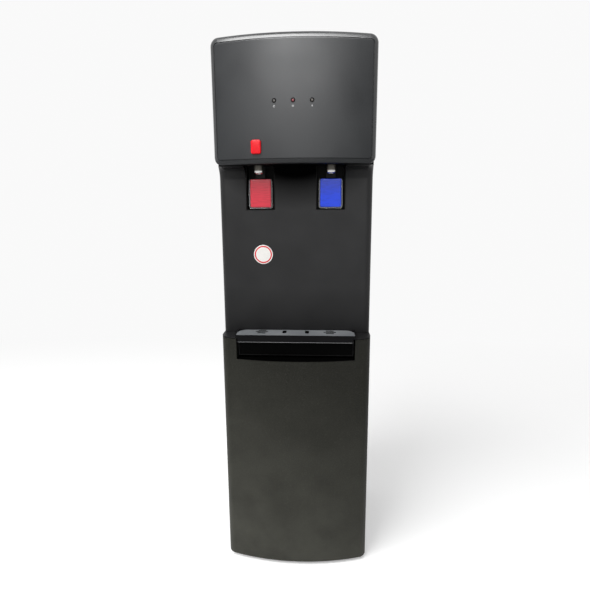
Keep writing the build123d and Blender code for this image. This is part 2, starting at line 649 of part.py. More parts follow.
# Door: bowed hollow shell, notch for the tray and finger grip behind the notch's lower edge
GRIP_BACK = BOX_FRONT
GRIP_LIP = 3.5
BOSS_R = 5.5
with BuildPart() as door_void:
    add(cabinet_block(WALL, DOOR_BOTTOM + WALL, DOOR_TOP - WALL, DOOR_BACK + 1))
    guard = (-NOTCH_HALF - WALL, NOTCH_HALF + WALL)
    block(guard, (FRONT, BACK), (NOTCH_BOTTOM - WALL, DOOR_TOP), Mode.SUBTRACT)
    block(guard, (FRONT, GRIP_BACK + WALL), (NOTCH_BOTTOM - GRIP_DEPTH - WALL, DOOR_TOP), Mode.SUBTRACT)
with BuildPart() as grip_pocket:
    add(cabinet_block(GRIP_LIP, NOTCH_BOTTOM - GRIP_DEPTH, NOTCH_BOTTOM + 1, GRIP_BACK))
    for side in (-1, 1):
        block(sorted((side * NOTCH_HALF, side * HALF)), (FRONT, BACK), (0, HEIGHT), Mode.SUBTRACT)
with BuildPart() as door_shell:
    add(cabinet_block(0, DOOR_BOTTOM, DOOR_TOP, DOOR_BACK))
    add(door_void.part, mode=Mode.SUBTRACT)
    add(grip_pocket.part, mode=Mode.SUBTRACT)
    block((-NOTCH_HALF, NOTCH_HALF), (FRONT, DOOR_BACK + 1), (NOTCH_BOTTOM, DOOR_TOP + 1), Mode.SUBTRACT)
    rod((HINGE_X, HINGE_Y, DOOR_BOTTOM + 1), (HINGE_X, HINGE_Y, DOOR_BOTTOM + 16), BOSS_R)
    rod((HINGE_X, HINGE_Y, DOOR_TOP - 16), (HINGE_X, HINGE_Y, DOOR_TOP - 1), BOSS_R)
    for low, high in ((DOOR_BOTTOM - 1, DOOR_BOTTOM + 14), (DOOR_TOP - 14, DOOR_TOP + 1)):
        rod((HINGE_X, HINGE_Y, low), (HINGE_X, HINGE_Y, high), HINGE_R + RUN, Mode.SUBTRACT)
save(door_shell, "door_shell")

with BuildPart() as door_inner:
    fit = WALL + SEAT
    block((-HALF + fit, HALF - fit), (DOOR_BACK - 2, DOOR_BACK), (DOOR_BOTTOM + fit, DOOR_TOP - fit))
    block(
        (-NOTCH_HALF - fit, NOTCH_HALF + fit),
        (DOOR_BACK - 3, DOOR_BACK + 1),
        (NOTCH_BOTTOM - fit, DOOR_TOP),
        Mode.SUBTRACT,
    )
save(door_inner, "door_inner")

# Gasket on the door, hinge pins with the lower bracket
OPENING_TOP = CHANNEL_FLOOR - 0.3
GASKET_OUT = HINGE_X - 2.0
GASKET_WIDTH = 8.0
GASKET_Z = (DOOR_BOTTOM + 16.0, OPENING_TOP - 14.0)
with BuildPart() as door_gasket:
    block((-GASKET_OUT, GASKET_OUT), (DOOR_BACK, FRAME_FRONT - GAP), GASKET_Z)
    inner_x = (-GASKET_OUT + GASKET_WIDTH, GASKET_OUT - GASKET_WIDTH)
    inner_z = (GASKET_Z[0] + GASKET_WIDTH, GASKET_Z[1] - GASKET_WIDTH)
    block(inner_x, (DOOR_BACK - 1, FRAME_FRONT), inner_z, Mode.SUBTRACT)
save(door_gasket, "door_gasket")

BRACKET_TOP = DOOR_BOTTOM - 0.5
BRACKET_THICK = 2.5
with BuildPart() as door_hinges:
    block(
        (HINGE_X - 14, HALF - 1),
        (HINGE_Y - 7, FRAME_FRONT + 10),
        (BRACKET_TOP - BRACKET_THICK, BRACKET_TOP),
    )
    block((HINGE_X - 14, HALF - 1), (FRAME_FRONT + 1, FRAME_FRONT + 10), (BRACKET_TOP - 1, FOOT_HEIGHT))
    rod((HINGE_X, HINGE_Y, BRACKET_TOP - 1), (HINGE_X, HINGE_Y, DOOR_BOTTOM + 12), HINGE_R)
    rod((HINGE_X, HINGE_Y, DOOR_TOP - 12), (HINGE_X, HINGE_Y, DECK_TOP - 1), HINGE_R)
save(door_hinges, "door_hinges")

# Storage compartment: stepped box with a front flange, and its shelf
LINER_HALF = HALF - 20.0
LINER_TOP = CHANNEL_FLOOR - 40.0
LINER_FLOOR = FOOT_HEIGHT + 28.0
STEP_Z = FOOT_HEIGHT + COMPRESSOR_HEIGHT + 62.0
LOW_BACK = COMPRESSOR_Y - COMPRESSOR_R - 14.0
HIGH_BACK = PANEL_IN - 48.0
LINER_WALL = 2.0
with BuildPart() as cabinet_liner:
    flange_y = (FRAME_FRONT, FRAME_FRONT + FRAME_THICK)
    block((-FRAME_IN, FRAME_IN), flange_y, (FOOT_HEIGHT + PAN_RIM, OPENING_TOP))
    block((-LINER_HALF, LINER_HALF), (FRAME_FRONT, LOW_BACK), (LINER_FLOOR, LINER_TOP))
    block((-LINER_HALF, LINER_HALF), (FRAME_FRONT, HIGH_BACK), (STEP_Z, LINER_TOP))
    inner = (-LINER_HALF + LINER_WALL, LINER_HALF - LINER_WALL)
    cavity_z = (LINER_FLOOR + LINER_WALL, LINER_TOP - LINER_WALL)
    block(inner, (FRAME_FRONT - 1, LOW_BACK - LINER_WALL), cavity_z, Mode.SUBTRACT)
    block(inner, (FRAME_FRONT - 1, HIGH_BACK - LINER_WALL), (STEP_Z + LINER_WALL, cavity_z[1]), Mode.SUBTRACT)
save(cabinet_liner, "cabinet_liner")

with BuildPart() as storage_shelf:
    shelf_x = (inner[0] + SEAT, inner[1] - SEAT)
    block(shelf_x, (FRAME_FRONT + 12, HIGH_BACK - LINER_WALL - SEAT), (STEP_Z + 2 * LINER_WALL, STEP_Z + 8))
    with BuildSketch(Plane.XY.offset(STEP_Z)):
        with GridLocations(24, 0, 9, 1):
            with Locations((0, (FRAME_FRONT + HIGH_BACK) / 2)):
                SlotOverall(110, 10, rotation=90)
    extrude(amount=12, mode=Mode.SUBTRACT)
save(storage_shelf, "storage_shelf")

# Top cover with the bottle well, its side edges rounded like the head's corners
LEDGE_Z = HEIGHT - 30.5
LEDGE_R = 64.0
SEAT_HOLE_R = 50.0
DISH_DROP = 18.0
COVER_REAR = REAR_SKIN + 3.0


def cover_block(inset):
    """Solid of the top cover, drawn in by inset, open room added below and in front."""
    low = COVER_BOTTOM - (1.0 if inset else 0.0)
    front = HEAD_BACK - (1.0 if inset else 0.0)
    with BuildPart() as cover:
        block((-HALF + inset, HALF - inset), (front, COVER_REAR - inset), (low, HEIGHT - inset))
        long_edges = cover.edges().filter_by(Axis.Y).sort_by(Axis.Z)[-2:]
        fillet(long_edges, HEAD_CORNER - inset)
    return cover.part


with BuildPart() as top_cover:
    add(cover_block(0))
    add(cover_block(WALL), mode=Mode.SUBTRACT)
    rod((0, WELL_Y, COVER_BOTTOM), (0, WELL_Y, HEIGHT + 1), WELL_R + WALL, Mode.SUBTRACT)
    with BuildSketch(Plane.XZ.offset(-WELL_Y)):
        with BuildLine():
            Polyline(
                (WELL_R + WALL, HEIGHT),
                (WELL_R, HEIGHT),
                (LEDGE_R, HEIGHT - DISH_DROP),
                (LEDGE_R, LEDGE_Z),
                (SEAT_HOLE_R, LEDGE_Z),
                (SEAT_HOLE_R, LEDGE_Z - WALL),
                (LEDGE_R + WALL, LEDGE_Z - WALL),
                (LEDGE_R + WALL, HEIGHT - DISH_DROP - WALL / 2),
                (WELL_R + WALL, HEIGHT - WALL),
                close=True,
            )
        make_face()
    revolve(axis=Axis((0, WELL_Y, 0), (0, 0, 1)))
save(top_cover, "top_cover")

# Bottle seat with its funnel and neck tube
TUBE_DROP = 40.0
with BuildPart() as bottle_seat:
    with BuildSketch(Plane.XZ.offset(-WELL_Y)):
        with BuildLine():
            Polyline(
                (LEDGE_R - 1.0, LEDGE_Z + GAP),
                (LEDGE_R - 1.0, LEDGE_Z + 3.3),
                (LEDGE_R - 12.0, LEDGE_Z + 3.3),
                (NECK_R, LEDGE_Z - 12.0),
                (NECK_R, LEDGE_Z - TUBE_DROP),
                (NECK_R + WALL, LEDGE_Z - TUBE_DROP),
                (NECK_R + WALL, LEDGE_Z - 14.0),
                (SEAT_HOLE_R - 0.5, LEDGE_Z - 1.5),
                (SEAT_HOLE_R - 0.5, LEDGE_Z + GAP),
                close=True,
            )
        make_face()
    revolve(axis=Axis((0, WELL_Y, 0), (0, 0, 1)))
save(bottle_seat, "bottle_seat")

# Spike on its hub, held in the foot of the neck tube by three webs
WEB_R = 1.5
HUB_HALF = 2.0
SPIKE_TOP = LEDGE_Z + 20.5
with BuildPart() as bottle_spike:
    web_z = LEDGE_Z - TUBE_DROP + HUB_HALF + 1.0
    spike_foot = web_z + HUB_HALF
    rod((0, WELL_Y, spike_foot), (0, WELL_Y, SPIKE_TOP), SPIKE_R)
    fillet(bottle_spike.edges().group_by(Axis.Z)[-1], SPIKE_R - 2)
    rod((0, WELL_Y, spike_foot - 1), (0, WELL_Y, SPIKE_TOP - 12), SPIKE_R - 2.5, Mode.SUBTRACT)
    for low in (LEDGE_Z - 8, LEDGE_Z - 26):
        block((-SPIKE_R - 1, SPIKE_R + 1), (WELL_Y - 3, WELL_Y + 3), (low, low + 12), Mode.SUBTRACT)
    rod((0, WELL_Y, web_z - HUB_HALF), (0, WELL_Y, spike_foot), SPIKE_R)
    for angle in (90, 210, 330):
        reach = Vector(NECK_R - SEAT, 0, 0).rotate(Axis.Z, angle)
        rod((0, WELL_Y, web_z), (reach.X, WELL_Y + reach.Y, web_z), WEB_R)
save(bottle_spike, "bottle_spike")

# Cold tank in its foam jacket, evaporator band between them, shelf below
COLD_TOP = HEIGHT - 43.0
COLD_BOTTOM = COLD_TOP - COLD_HEIGHT
BAND_THICK = 3.5
FOAM_BOTTOM = COLD_BOTTOM - 16.0
FOAM_HALF = COLD_R + BAND_THICK + FOAM_WALL
SHELF_SHEET = 1.2
STUB_R = 6.0
COLD_PORT = (COLD_R - 21.0, WELL_Y - 22.0)
FEED_PORT = (-COLD_R + 15.0, WELL_Y)
PORT_ROOM = 2.0        # shelf hole round a port
PORT_END = FOAM_BOTTOM - 4.0
SUCTION = (-FOAM_HALF + 9.5, WELL_Y + FOAM_HALF - 9.5)
CAPILLARY = (-FOAM_HALF + 4.5, WELL_Y + FOAM_HALF - 4.5)
with BuildPart() as cold_tank:
    rod((0, WELL_Y, COLD_BOTTOM), (0, WELL_Y, COLD_TOP), COLD_R)
    rod((0, WELL_Y, COLD_TOP - 3), (0, WELL_Y, COLD_TOP), COLD_R + 1.5)
    for x, y in (COLD_PORT, FEED_PORT):
        rod((x, y, PORT_END), (x, y, COLD_BOTTOM + 1), STUB_R)
    rod((0, WELL_Y, COLD_BOTTOM + COLD_WALL), (0, WELL_Y, COLD_TOP + 1), COLD_R - COLD_WALL, Mode.SUBTRACT)
    for x, y in (COLD_PORT, FEED_PORT):
        rod((x, y, PORT_END - 1), (x, y, COLD_BOTTOM + 2), HOSE_BORE, Mode.SUBTRACT)
save(cold_tank, "cold_tank")

BAND_Z = (COLD_BOTTOM + 12.0, COLD_BOTTOM + 92.0)
with BuildPart() as evaporator_band:
    rod((0, WELL_Y, BAND_Z[0]), (0, WELL_Y, BAND_Z[1]), COLD_R + BAND_THICK - SEAT)
    rod((0, WELL_Y, BAND_Z[0] - 1), (0, WELL_Y, BAND_Z[1] + 1), COLD_R + SEAT, Mode.SUBTRACT)
save(evaporator_band, "evaporator_band")

with BuildPart() as cold_tank_foam:
    with BuildSketch(Plane.XY.offset(FOAM_BOTTOM)):
        with Locations((0, WELL_Y)):
            RectangleRounded(2 * FOAM_HALF, 2 * FOAM_HALF, 30)
    extrude(amount=COLD_TOP - FOAM_BOTTOM)
    rod((0, WELL_Y, COLD_BOTTOM - SEAT), (0, WELL_Y, COLD_TOP + 1), COLD_R + BAND_THICK, Mode.SUBTRACT)
    for x, y in (COLD_PORT, FEED_PORT):
        rod((x, y, FOAM_BOTTOM - 1), (x, y, COLD_BOTTOM), STUB_R + SEAT, Mode.SUBTRACT)
save(cold_tank_foam, "cold_tank_foam")

with BuildPart() as tank_shelf:
    shelf_y = (WELL_Y - FOAM_HALF, PANEL_IN - SHEET - 0.2)
    block((-FRAME_IN, FRAME_IN), shelf_y, (FOAM_BOTTOM - SHELF_SHEET, FOAM_BOTTOM))
    for side in (-1, 1):
        edge = sorted((side * FRAME_IN, side * (FRAME_IN - SHELF_SHEET)))
        block(edge, (shelf_y[0], shelf_y[1] - 2), (FOAM_BOTTOM - 16, FOAM_BOTTOM))
    stub_hole = STUB_R + PORT_ROOM
    holes = ((COLD_PORT, stub_hole), (FEED_PORT, stub_hole), (SUCTION, 4), (CAPILLARY, 2))
    for (x, y), radius in holes:
        rod((x, y, FOAM_BOTTOM - 3), (x, y, FOAM_BOTTOM + 1), radius, Mode.SUBTRACT)
save(tank_shelf, "tank_shelf")

# Hot tank on the rear panel, with heater band and thermostats
HOT_Y = PANEL_IN - HOT_R - 4.0
HOT_TOP = HEAD_BOTTOM - 75.0
HOT_BOTTOM = HOT_TOP - HOT_HEIGHT
HOT_WALL = 1.0
HOT_CORNER = 14.0
HOT_OUT = (-20.0, HOT_Y - 24.0)
HOT_FEED = (-20.0, HOT_Y)
HOT_DRAIN = (20.0, HOT_Y)
HOT_PORT = 12.0
STRAP_HALF = 30.0      # tabs that carry the hot tank on the rear panel
STRAP_TALL = 12.0
with BuildPart() as hot_void:
    rod((0, HOT_Y, HOT_BOTTOM + HOT_WALL), (0, HOT_Y, HOT_TOP - HOT_WALL), HOT_R - HOT_WALL)
    fillet(hot_void.edges().filter_by(GeomType.CIRCLE), HOT_CORNER - HOT_WALL)
with BuildPart() as hot_tank:
    rod((0, HOT_Y, HOT_BOTTOM), (0, HOT_Y, HOT_TOP), HOT_R)
    fillet(hot_tank.edges().filter_by(GeomType.CIRCLE), HOT_CORNER)
    for low in (HOT_BOTTOM + 66, HOT_TOP - 26):
        block((-STRAP_HALF, STRAP_HALF), (HOT_Y + HOT_R - 20, PANEL_IN), (low, low + STRAP_TALL))
    for (x, y), tip, root in (
        (HOT_OUT, HOT_TOP + HOT_PORT, HOT_TOP - 2),
        (HOT_FEED, HOT_BOTTOM - HOT_PORT, HOT_BOTTOM + 2),
        (HOT_DRAIN, HOT_BOTTOM - HOT_PORT, HOT_BOTTOM + 2),
    ):
        rod((x, y, tip), (x, y, root), STUB_R)
    add(hot_void.part, mode=Mode.SUBTRACT)
    for (x, y), tip, root in (
        (HOT_OUT, HOT_TOP + HOT_PORT + 1, HOT_TOP - 4),
        (HOT_FEED, HOT_BOTTOM - HOT_PORT - 1, HOT_BOTTOM + 4),
        (HOT_DRAIN, HOT_BOTTOM - HOT_PORT - 1, HOT_BOTTOM + 4),
    ):
        rod((x, y, tip), (x, y, root), HOSE_BORE, Mode.SUBTRACT)
save(hot_tank, "hot_tank")

with BuildPart() as heater_band:
    rod((0, HOT_Y, HOT_BOTTOM + 18), (0, HOT_Y, HOT_BOTTOM + 56), HOT_R + 4)
    rod((0, HOT_Y, HOT_BOTTOM + 17), (0, HOT_Y, HOT_BOTTOM + 57), HOT_R + SEAT, Mode.SUBTRACT)
    block((HOT_R + 1, HOT_R + 14), (HOT_Y - 8, HOT_Y + 8), (HOT_BOTTOM + 26, HOT_BOTTOM + 48))
save(heater_band, "heater_band")

THERMOSTAT_R = 8.0
THERMOSTAT_THICK = 6.0
THERMOSTAT_PITCH = 24.0
with BuildPart() as thermostats:
    seat_y = HOT_Y - HOT_R - SEAT
    cap_y = seat_y - THERMOSTAT_THICK
    for row in range(3):
        z = HOT_TOP - 26.0 - row * THERMOSTAT_PITCH
        rod((0, seat_y, z), (0, cap_y, z), THERMOSTAT_R)
        block((-THERMOSTAT_R - 2, THERMOSTAT_R + 2), (cap_y - 2, cap_y), (z - 3, z + 3))
save(thermostats, "thermostats")

# Rear panel, its screws, switches, drain and cable gland
REAR_BOTTOM = STEP_Z + 18.0
SERVICE_Z = REAR_BOTTOM + 20.0
SWITCH_X = -60.0
SWITCH_Z = HEAD_BOTTOM - 35.0
SWITCH_SIZE = (46.0, 26.0)
SWITCH_BEZEL = 3.0
SWITCH_DEPTH = 18.0
ROCKER_DEPTH = 12.0
DRAIN_X = 70.0
GLAND_X = -78.0
DRAIN_R = 8.0
GLAND_R = 6.0
CORD_HOLE_R = 4.0
LOUVRE = (70.0, 4.0)
with BuildPart() as rear_panel:
    block((-FRAME_IN, FRAME_IN), (PANEL_IN, REAR_SKIN), (REAR_BOTTOM, COVER_BOTTOM))
    with BuildSketch(Plane.XZ.offset(-REAR_SKIN - 1)):
        with Locations((0, COVER_BOTTOM - 55)):
            with GridLocations(110, 12, 2, 6):
                SlotOverall(*LOUVRE)
        with Locations((SWITCH_X, SWITCH_Z)):
            Rectangle(SWITCH_SIZE[0], SWITCH_SIZE[1])
    extrude(amount=6, mode=Mode.SUBTRACT)
    holes_along_y([(DRAIN_X, SERVICE_Z)], DRAIN_R + SEAT, PANEL_IN - 1, 4, Mode.SUBTRACT)
    holes_along_y([(GLAND_X, SERVICE_Z)], GLAND_R + SEAT, PANEL_IN - 1, 4, Mode.SUBTRACT)
save(rear_panel, "rear_panel")

SCREW_COUNT = 5
SCREW_R = 3.6
SCREW_X = HALF - 8.0
with BuildPart() as screws:
    pitch = (COVER_BOTTOM - REAR_BOTTOM - 30) / (SCREW_COUNT - 1)
    for side in (-1, 1):
        for row in range(SCREW_COUNT):
            z = REAR_BOTTOM + 15 + row * pitch
            rod((side * SCREW_X, REAR_SKIN, z), (side * SCREW_X, REAR_SKIN + 2, z), SCREW_R)
    chamfer(screws.edges().group_by(Axis.Y)[-1], 0.8)
save(screws, "screws")

ROCKER_HALF = 6.5
ROCKER_TILT = 8.0
ROCKER_X = {"hot": SWITCH_X - 9.5, "cold": SWITCH_X + 9.5}
ROCKER_PIN = 1.5
ROCKER_ROOM = 10.6     # half height of the window that a rocker tilts in
ROCKER_Y = REAR_SKIN - 1.0
ROCKER_SIDE = [(-6, -3), (-6, 3), (2, 9.6), (6, 9.2), (3.6, 0), (6, -9.2), (2, -9.6)]
with BuildPart() as switch_frame:
    bezel = [size / 2 + SWITCH_BEZEL for size in SWITCH_SIZE]
    body = [size / 2 - SEAT for size in SWITCH_SIZE]
    block(
        (SWITCH_X - bezel[0], SWITCH_X + bezel[0]),
        (REAR_SKIN, REAR_SKIN + 2),
        (SWITCH_Z - bezel[1], SWITCH_Z + bezel[1]),
    )
    block(
        (SWITCH_X - body[0], SWITCH_X + body[0]),
        (PANEL_IN - SWITCH_DEPTH, REAR_SKIN),
        (SWITCH_Z - body[1], SWITCH_Z + body[1]),
    )
    for x in ROCKER_X.values():
        window = ROCKER_HALF + GAP
        tall = (SWITCH_Z - ROCKER_ROOM, SWITCH_Z + ROCKER_ROOM)
        block((x - window, x + window), (PANEL_IN - ROCKER_DEPTH, REAR_SKIN + 3), tall, Mode.SUBTRACT)
        reach = ROCKER_HALF + 1.7
        rod((x - reach, ROCKER_Y, SWITCH_Z), (x + reach, ROCKER_Y, SWITCH_Z), ROCKER_PIN + RUN, Mode.SUBTRACT)
save(switch_frame, "switch_frame")

for side, x in ROCKER_X.items():
    with BuildPart() as rocker:
        with BuildSketch(Plane.YZ.offset(x - ROCKER_HALF)):
            with BuildLine():
                Polyline(*[(ROCKER_Y + y, SWITCH_Z + z) for y, z in ROCKER_SIDE], close=True)
            make_face()
        extrude(amount=2 * ROCKER_HALF)
        reach = ROCKER_HALF + 1.5
        rod((x - reach, ROCKER_Y, SWITCH_Z), (x + reach, ROCKER_Y, SWITCH_Z), ROCKER_PIN)
    rocker.part = rocker.part.rotate(Axis((x, ROCKER_Y, SWITCH_Z), (1, 0, 0)), -ROCKER_TILT)
    save(rocker, f"rocker_{side}")

# Drain spigot with its cap, cable gland
with BuildPart() as drain_spigot:
    rod((DRAIN_X, PANEL_IN - 10, SERVICE_Z), (DRAIN_X, REAR_SKIN + 12, SERVICE_Z), DRAIN_R)
    rod((DRAIN_X, REAR_SKIN, SERVICE_Z), (DRAIN_X, REAR_SKIN + 2, SERVICE_Z), DRAIN_R + 5)
    mouth = (DRAIN_X, REAR_SKIN + 13, SERVICE_Z)
    rod((DRAIN_X, PANEL_IN - 11, SERVICE_Z), mouth, HOSE_BORE, Mode.SUBTRACT)
save(drain_spigot, "drain_spigot")

CAP_FRONT = REAR_SKIN + 2 + GAP
with BuildPart() as drain_cap:
    rod((DRAIN_X, CAP_FRONT, SERVICE_Z), (DRAIN_X, CAP_FRONT + 14, SERVICE_Z), DRAIN_R + 3.5)
    fillet(drain_cap.edges().group_by(Axis.Y)[-1], 1.5)
    with BuildSketch(Plane.XZ.offset(-CAP_FRONT + 1)):
        with Locations((DRAIN_X, SERVICE_Z)):
            with PolarLocations(DRAIN_R + 4.0, 16):
                Circle(0.9)
    extrude(amount=-16, mode=Mode.SUBTRACT)
    bottom = (DRAIN_X, CAP_FRONT + 10.2, SERVICE_Z)
    rod((DRAIN_X, CAP_FRONT - 1, SERVICE_Z), bottom, DRAIN_R + SEAT, Mode.SUBTRACT)
save(drain_cap, "drain_cap")

with BuildPart() as cord_gland:
    rod((GLAND_X, PANEL_IN - 6, SERVICE_Z), (GLAND_X, REAR_SKIN + 2, SERVICE_Z), GLAND_R)
    rod((GLAND_X, REAR_SKIN, SERVICE_Z), (GLAND_X, REAR_SKIN + 9, SERVICE_Z), GLAND_R + 3)
    chamfer(cord_gland.edges().group_by(Axis.Y)[-1], 1.5)
    rod((GLAND_X, PANEL_IN - 7, SERVICE_Z), (GLAND_X, REAR_SKIN + 10, SERVICE_Z), CORD_HOLE_R, Mode.SUBTRACT)
save(cord_gland, "cord_gland")

# Hoses: hot tank to hot tap, cold tank to cold tap, cold tank to hot tank, hot tank to drain
TAP_PORT_Z = (STEM_Z - 10 + TUBE_Z + ELBOW_R) / 2
HOT_PORT_Z = HOT_TOP + HOT_PORT
HOT_FOOT = HOT_BOTTOM - HOT_PORT
DRAIN_RUN_Y = (HIGH_BACK + PANEL_IN) / 2 - 2.0
HOT_TURN_Y = WELL_Y - 22.0 - 2 * (TAP_X - COLD_R + 16.5)  # passes in front of the feed hose
HOSES = {
    "hot": (
        [
            (*HOT_OUT, HOT_PORT_Z),
            (*HOT_OUT, HOT_PORT_Z + 43),
            (-TAP_X, HOT_TURN_Y, TAP_PORT_Z),
            (-TAP_X, VALVE_BACK, TAP_PORT_Z),
        ],
        (18, 18),
    ),
    "cold": (
        [
            (*COLD_PORT, PORT_END),
            (*COLD_PORT, TAP_PORT_Z),
            (TAP_X, VALVE_BACK + 24, TAP_PORT_Z),
            (TAP_X, VALVE_BACK, TAP_PORT_Z),
        ],
        (18, 18),
    ),
    "feed": (
        [
            (*FEED_PORT, PORT_END),
            (*FEED_PORT, HOT_FOOT - 40),
            (*HOT_FEED, HOT_FOOT - 40),
            (*HOT_FEED, HOT_FOOT),
        ],
        (24, 24),
    ),
    "drain": (
        [
            (*HOT_DRAIN, HOT_FOOT),
            (*HOT_DRAIN, HOT_FOOT - 45),
            (DRAIN_X, DRAIN_RUN_Y, HOT_FOOT - 85),
            (DRAIN_X, DRAIN_RUN_Y, SERVICE_Z),
            (DRAIN_X, PANEL_IN - 10, SERVICE_Z),
        ],
        (18, 18, 12),
    ),
}
with BuildPart() as water_hoses:
    for points, radii in HOSES.values():
        add(swept_tube(points, radii, HOSE_R, HOSE_BORE))
save(water_hoses, "water_hoses")

# Compressor on its rubber mounts, with the motor block inside and the relay box on its side
COMPRESSOR_BOTTOM = PAN_TOP + 8.0
COMPRESSOR_TOP = COMPRESSOR_BOTTOM + COMPRESSOR_HEIGHT
SHELL_WALL = 3.0
SEAM_RISE = 78.0
DOME_R = 30.0
KEEL_R = 16.0
FOOT_PLATE = (PAN_TOP + MOUNT_HEIGHT, PAN_TOP + MOUNT_HEIGHT + 3.0)


def compressor_body(inset):
    """Closed round body of the compressor, drawn in by inset."""
    with BuildPart() as body:
        low = (COMPRESSOR_X, COMPRESSOR_Y, COMPRESSOR_BOTTOM + inset)
        rod(low, (COMPRESSOR_X, COMPRESSOR_Y, COMPRESSOR_TOP - inset), COMPRESSOR_R - inset)
        fillet(body.edges().group_by(Axis.Z)[-1], DOME_R - inset)
        fillet(body.edges().group_by(Axis.Z)[0], KEEL_R - inset)
    return body.part


with BuildPart() as compressor_shell:
    add(compressor_body(0))
    seam_z = COMPRESSOR_BOTTOM + SEAM_RISE
    rod(
        (COMPRESSOR_X, COMPRESSOR_Y, seam_z),
        (COMPRESSOR_X, COMPRESSOR_Y, seam_z + 4),
        COMPRESSOR_R + 2,
    )
    reach = (MOUNT_SIDE + 12, MOUNT_OUT + 12)
    block(
        (COMPRESSOR_X - reach[0], COMPRESSOR_X + reach[0]),
        (COMPRESSOR_Y - reach[1], COMPRESSOR_Y + reach[1]),
        FOOT_PLATE,
    )
    rod(
        (COMPRESSOR_X, COMPRESSOR_Y, COMPRESSOR_TOP - 2),
        (COMPRESSOR_X, COMPRESSOR_Y, COMPRESSOR_TOP + 5),
        5,
    )
    add(compressor_body(SHELL_WALL), mode=Mode.SUBTRACT)
    for x, y in MOUNT_PLACES:
        rod((x, y, FOOT_PLATE[0] - 1), (x, y, FOOT_PLATE[1] + 1), STUD_R + 1, Mode.SUBTRACT)
save(compressor_shell, "compressor_shell")

with BuildPart() as compressor_pump:
    floor = COMPRESSOR_BOTTOM + SHELL_WALL
    waist = floor + 30
    rod((COMPRESSOR_X, COMPRESSOR_Y, floor), (COMPRESSOR_X, COMPRESSOR_Y, waist), COMPRESSOR_R - 23)
    rod((COMPRESSOR_X, COMPRESSOR_Y, waist), (COMPRESSOR_X, COMPRESSOR_Y, waist + 50), COMPRESSOR_R - 17)
save(compressor_pump, "compressor_pump")

with BuildPart() as compressor_mounts:
    for x, y in MOUNT_PLACES:
        rod((x, y, PAN_TOP), (x, y, FOOT_PLATE[0]), MOUNT_R)
        rod((x, y, PAN_TOP - 1), (x, y, FOOT_PLATE[0] + 1), STUD_R + SEAT, Mode.SUBTRACT)
save(compressor_mounts, "compressor_mounts")

RELAY_SIZE = (22.0, 40.0, 42.0)
with BuildPart() as start_relay:
    relay_x = COMPRESSOR_X + COMPRESSOR_R + GAP
    relay_z = (COMPRESSOR_BOTTOM + 28, COMPRESSOR_BOTTOM + 28 + RELAY_SIZE[2])
    relay_y = (COMPRESSOR_Y - RELAY_SIZE[1] / 2, COMPRESSOR_Y + RELAY_SIZE[1] / 2)
    block((relay_x, relay_x + RELAY_SIZE[0]), relay_y, relay_z)
    fillet(start_relay.edges().filter_by(Axis.Z).sort_by(Axis.X)[-2:], 4)
save(start_relay, "start_relay")

# Refrigerant circuit: drier, pipes, and the serpentine condenser behind the rear panel
CONDENSER_Y = REAR_SKIN + 11.0
CONDENSER_END = HALF - 54.0
CONDENSER_Z = SERVICE_Z + 40.0
CONDENSER_TOP = CONDENSER_Z + (CONDENSER_RUNS - 1) * CONDENSER_PITCH
BEND_R = CONDENSER_PITCH / 2
PIPE_X = HALF - 19.0
DRIER_X = -FOAM_HALF - 12.0
DRIER_Y = CAPILLARY[1]
DRIER_Z = (LINER_FLOOR + 50.0, LINER_FLOOR + 140.0)
CAPILLARY_R = 1.0
PIPE_R = 3.0
with BuildPart() as filter_drier:
    rod((DRIER_X, DRIER_Y, DRIER_Z[0]), (DRIER_X, DRIER_Y, DRIER_Z[1]), 8)
    chamfer(filter_drier.edges().filter_by(GeomType.CIRCLE), 3)
save(filter_drier, "filter_drier")

PIPES = {
    "discharge": (
        [
            (COMPRESSOR_X, COMPRESSOR_Y, COMPRESSOR_TOP + 5),
            (COMPRESSOR_X, COMPRESSOR_Y, REAR_BOTTOM - 42),
            (PIPE_X, CONDENSER_Y - 30, REAR_BOTTOM - 40),
            (PIPE_X, CONDENSER_Y, REAR_BOTTOM - 12),
            (PIPE_X, CONDENSER_Y, CONDENSER_TOP),
            (CONDENSER_END, CONDENSER_Y, CONDENSER_TOP),
        ],
        (12, 14, 12, 12),
        TUBE_R,
    ),
    "liquid": (
        [
            (-CONDENSER_END, CONDENSER_Y, CONDENSER_Z),
            (-PIPE_X, CONDENSER_Y, CONDENSER_Z),
            (-PIPE_X, CONDENSER_Y, REAR_BOTTOM - 14),
            (DRIER_X, DRIER_Y, REAR_BOTTOM - 26),
            (DRIER_X, DRIER_Y, DRIER_Z[1]),
        ],
        (12, 10, 8),
        TUBE_R,
    ),
    "suction": (
        [
            (*SUCTION, FOAM_BOTTOM),
            (*SUCTION, COMPRESSOR_TOP + 6),
            (SUCTION[0], COMPRESSOR_Y, COMPRESSOR_BOTTOM + 96),
            (COMPRESSOR_X - COMPRESSOR_R, COMPRESSOR_Y, COMPRESSOR_BOTTOM + 96),
        ],
        (16, 16),
        PIPE_R,
    ),
    "capillary": (
        [
            (DRIER_X, DRIER_Y, DRIER_Z[0]),
            (DRIER_X, DRIER_Y, DRIER_Z[0] - 20),
            (CAPILLARY[0], DRIER_Y, DRIER_Z[0] - 20),
            (*CAPILLARY, FOAM_BOTTOM),
        ],
        (7, 7),
        CAPILLARY_R,
    ),
}
with BuildPart() as refrigerant_pipes:
    for points, radii, radius in PIPES.values():
        add(swept_tube(points, radii, radius, 0))
save(refrigerant_pipes, "refrigerant_pipes")

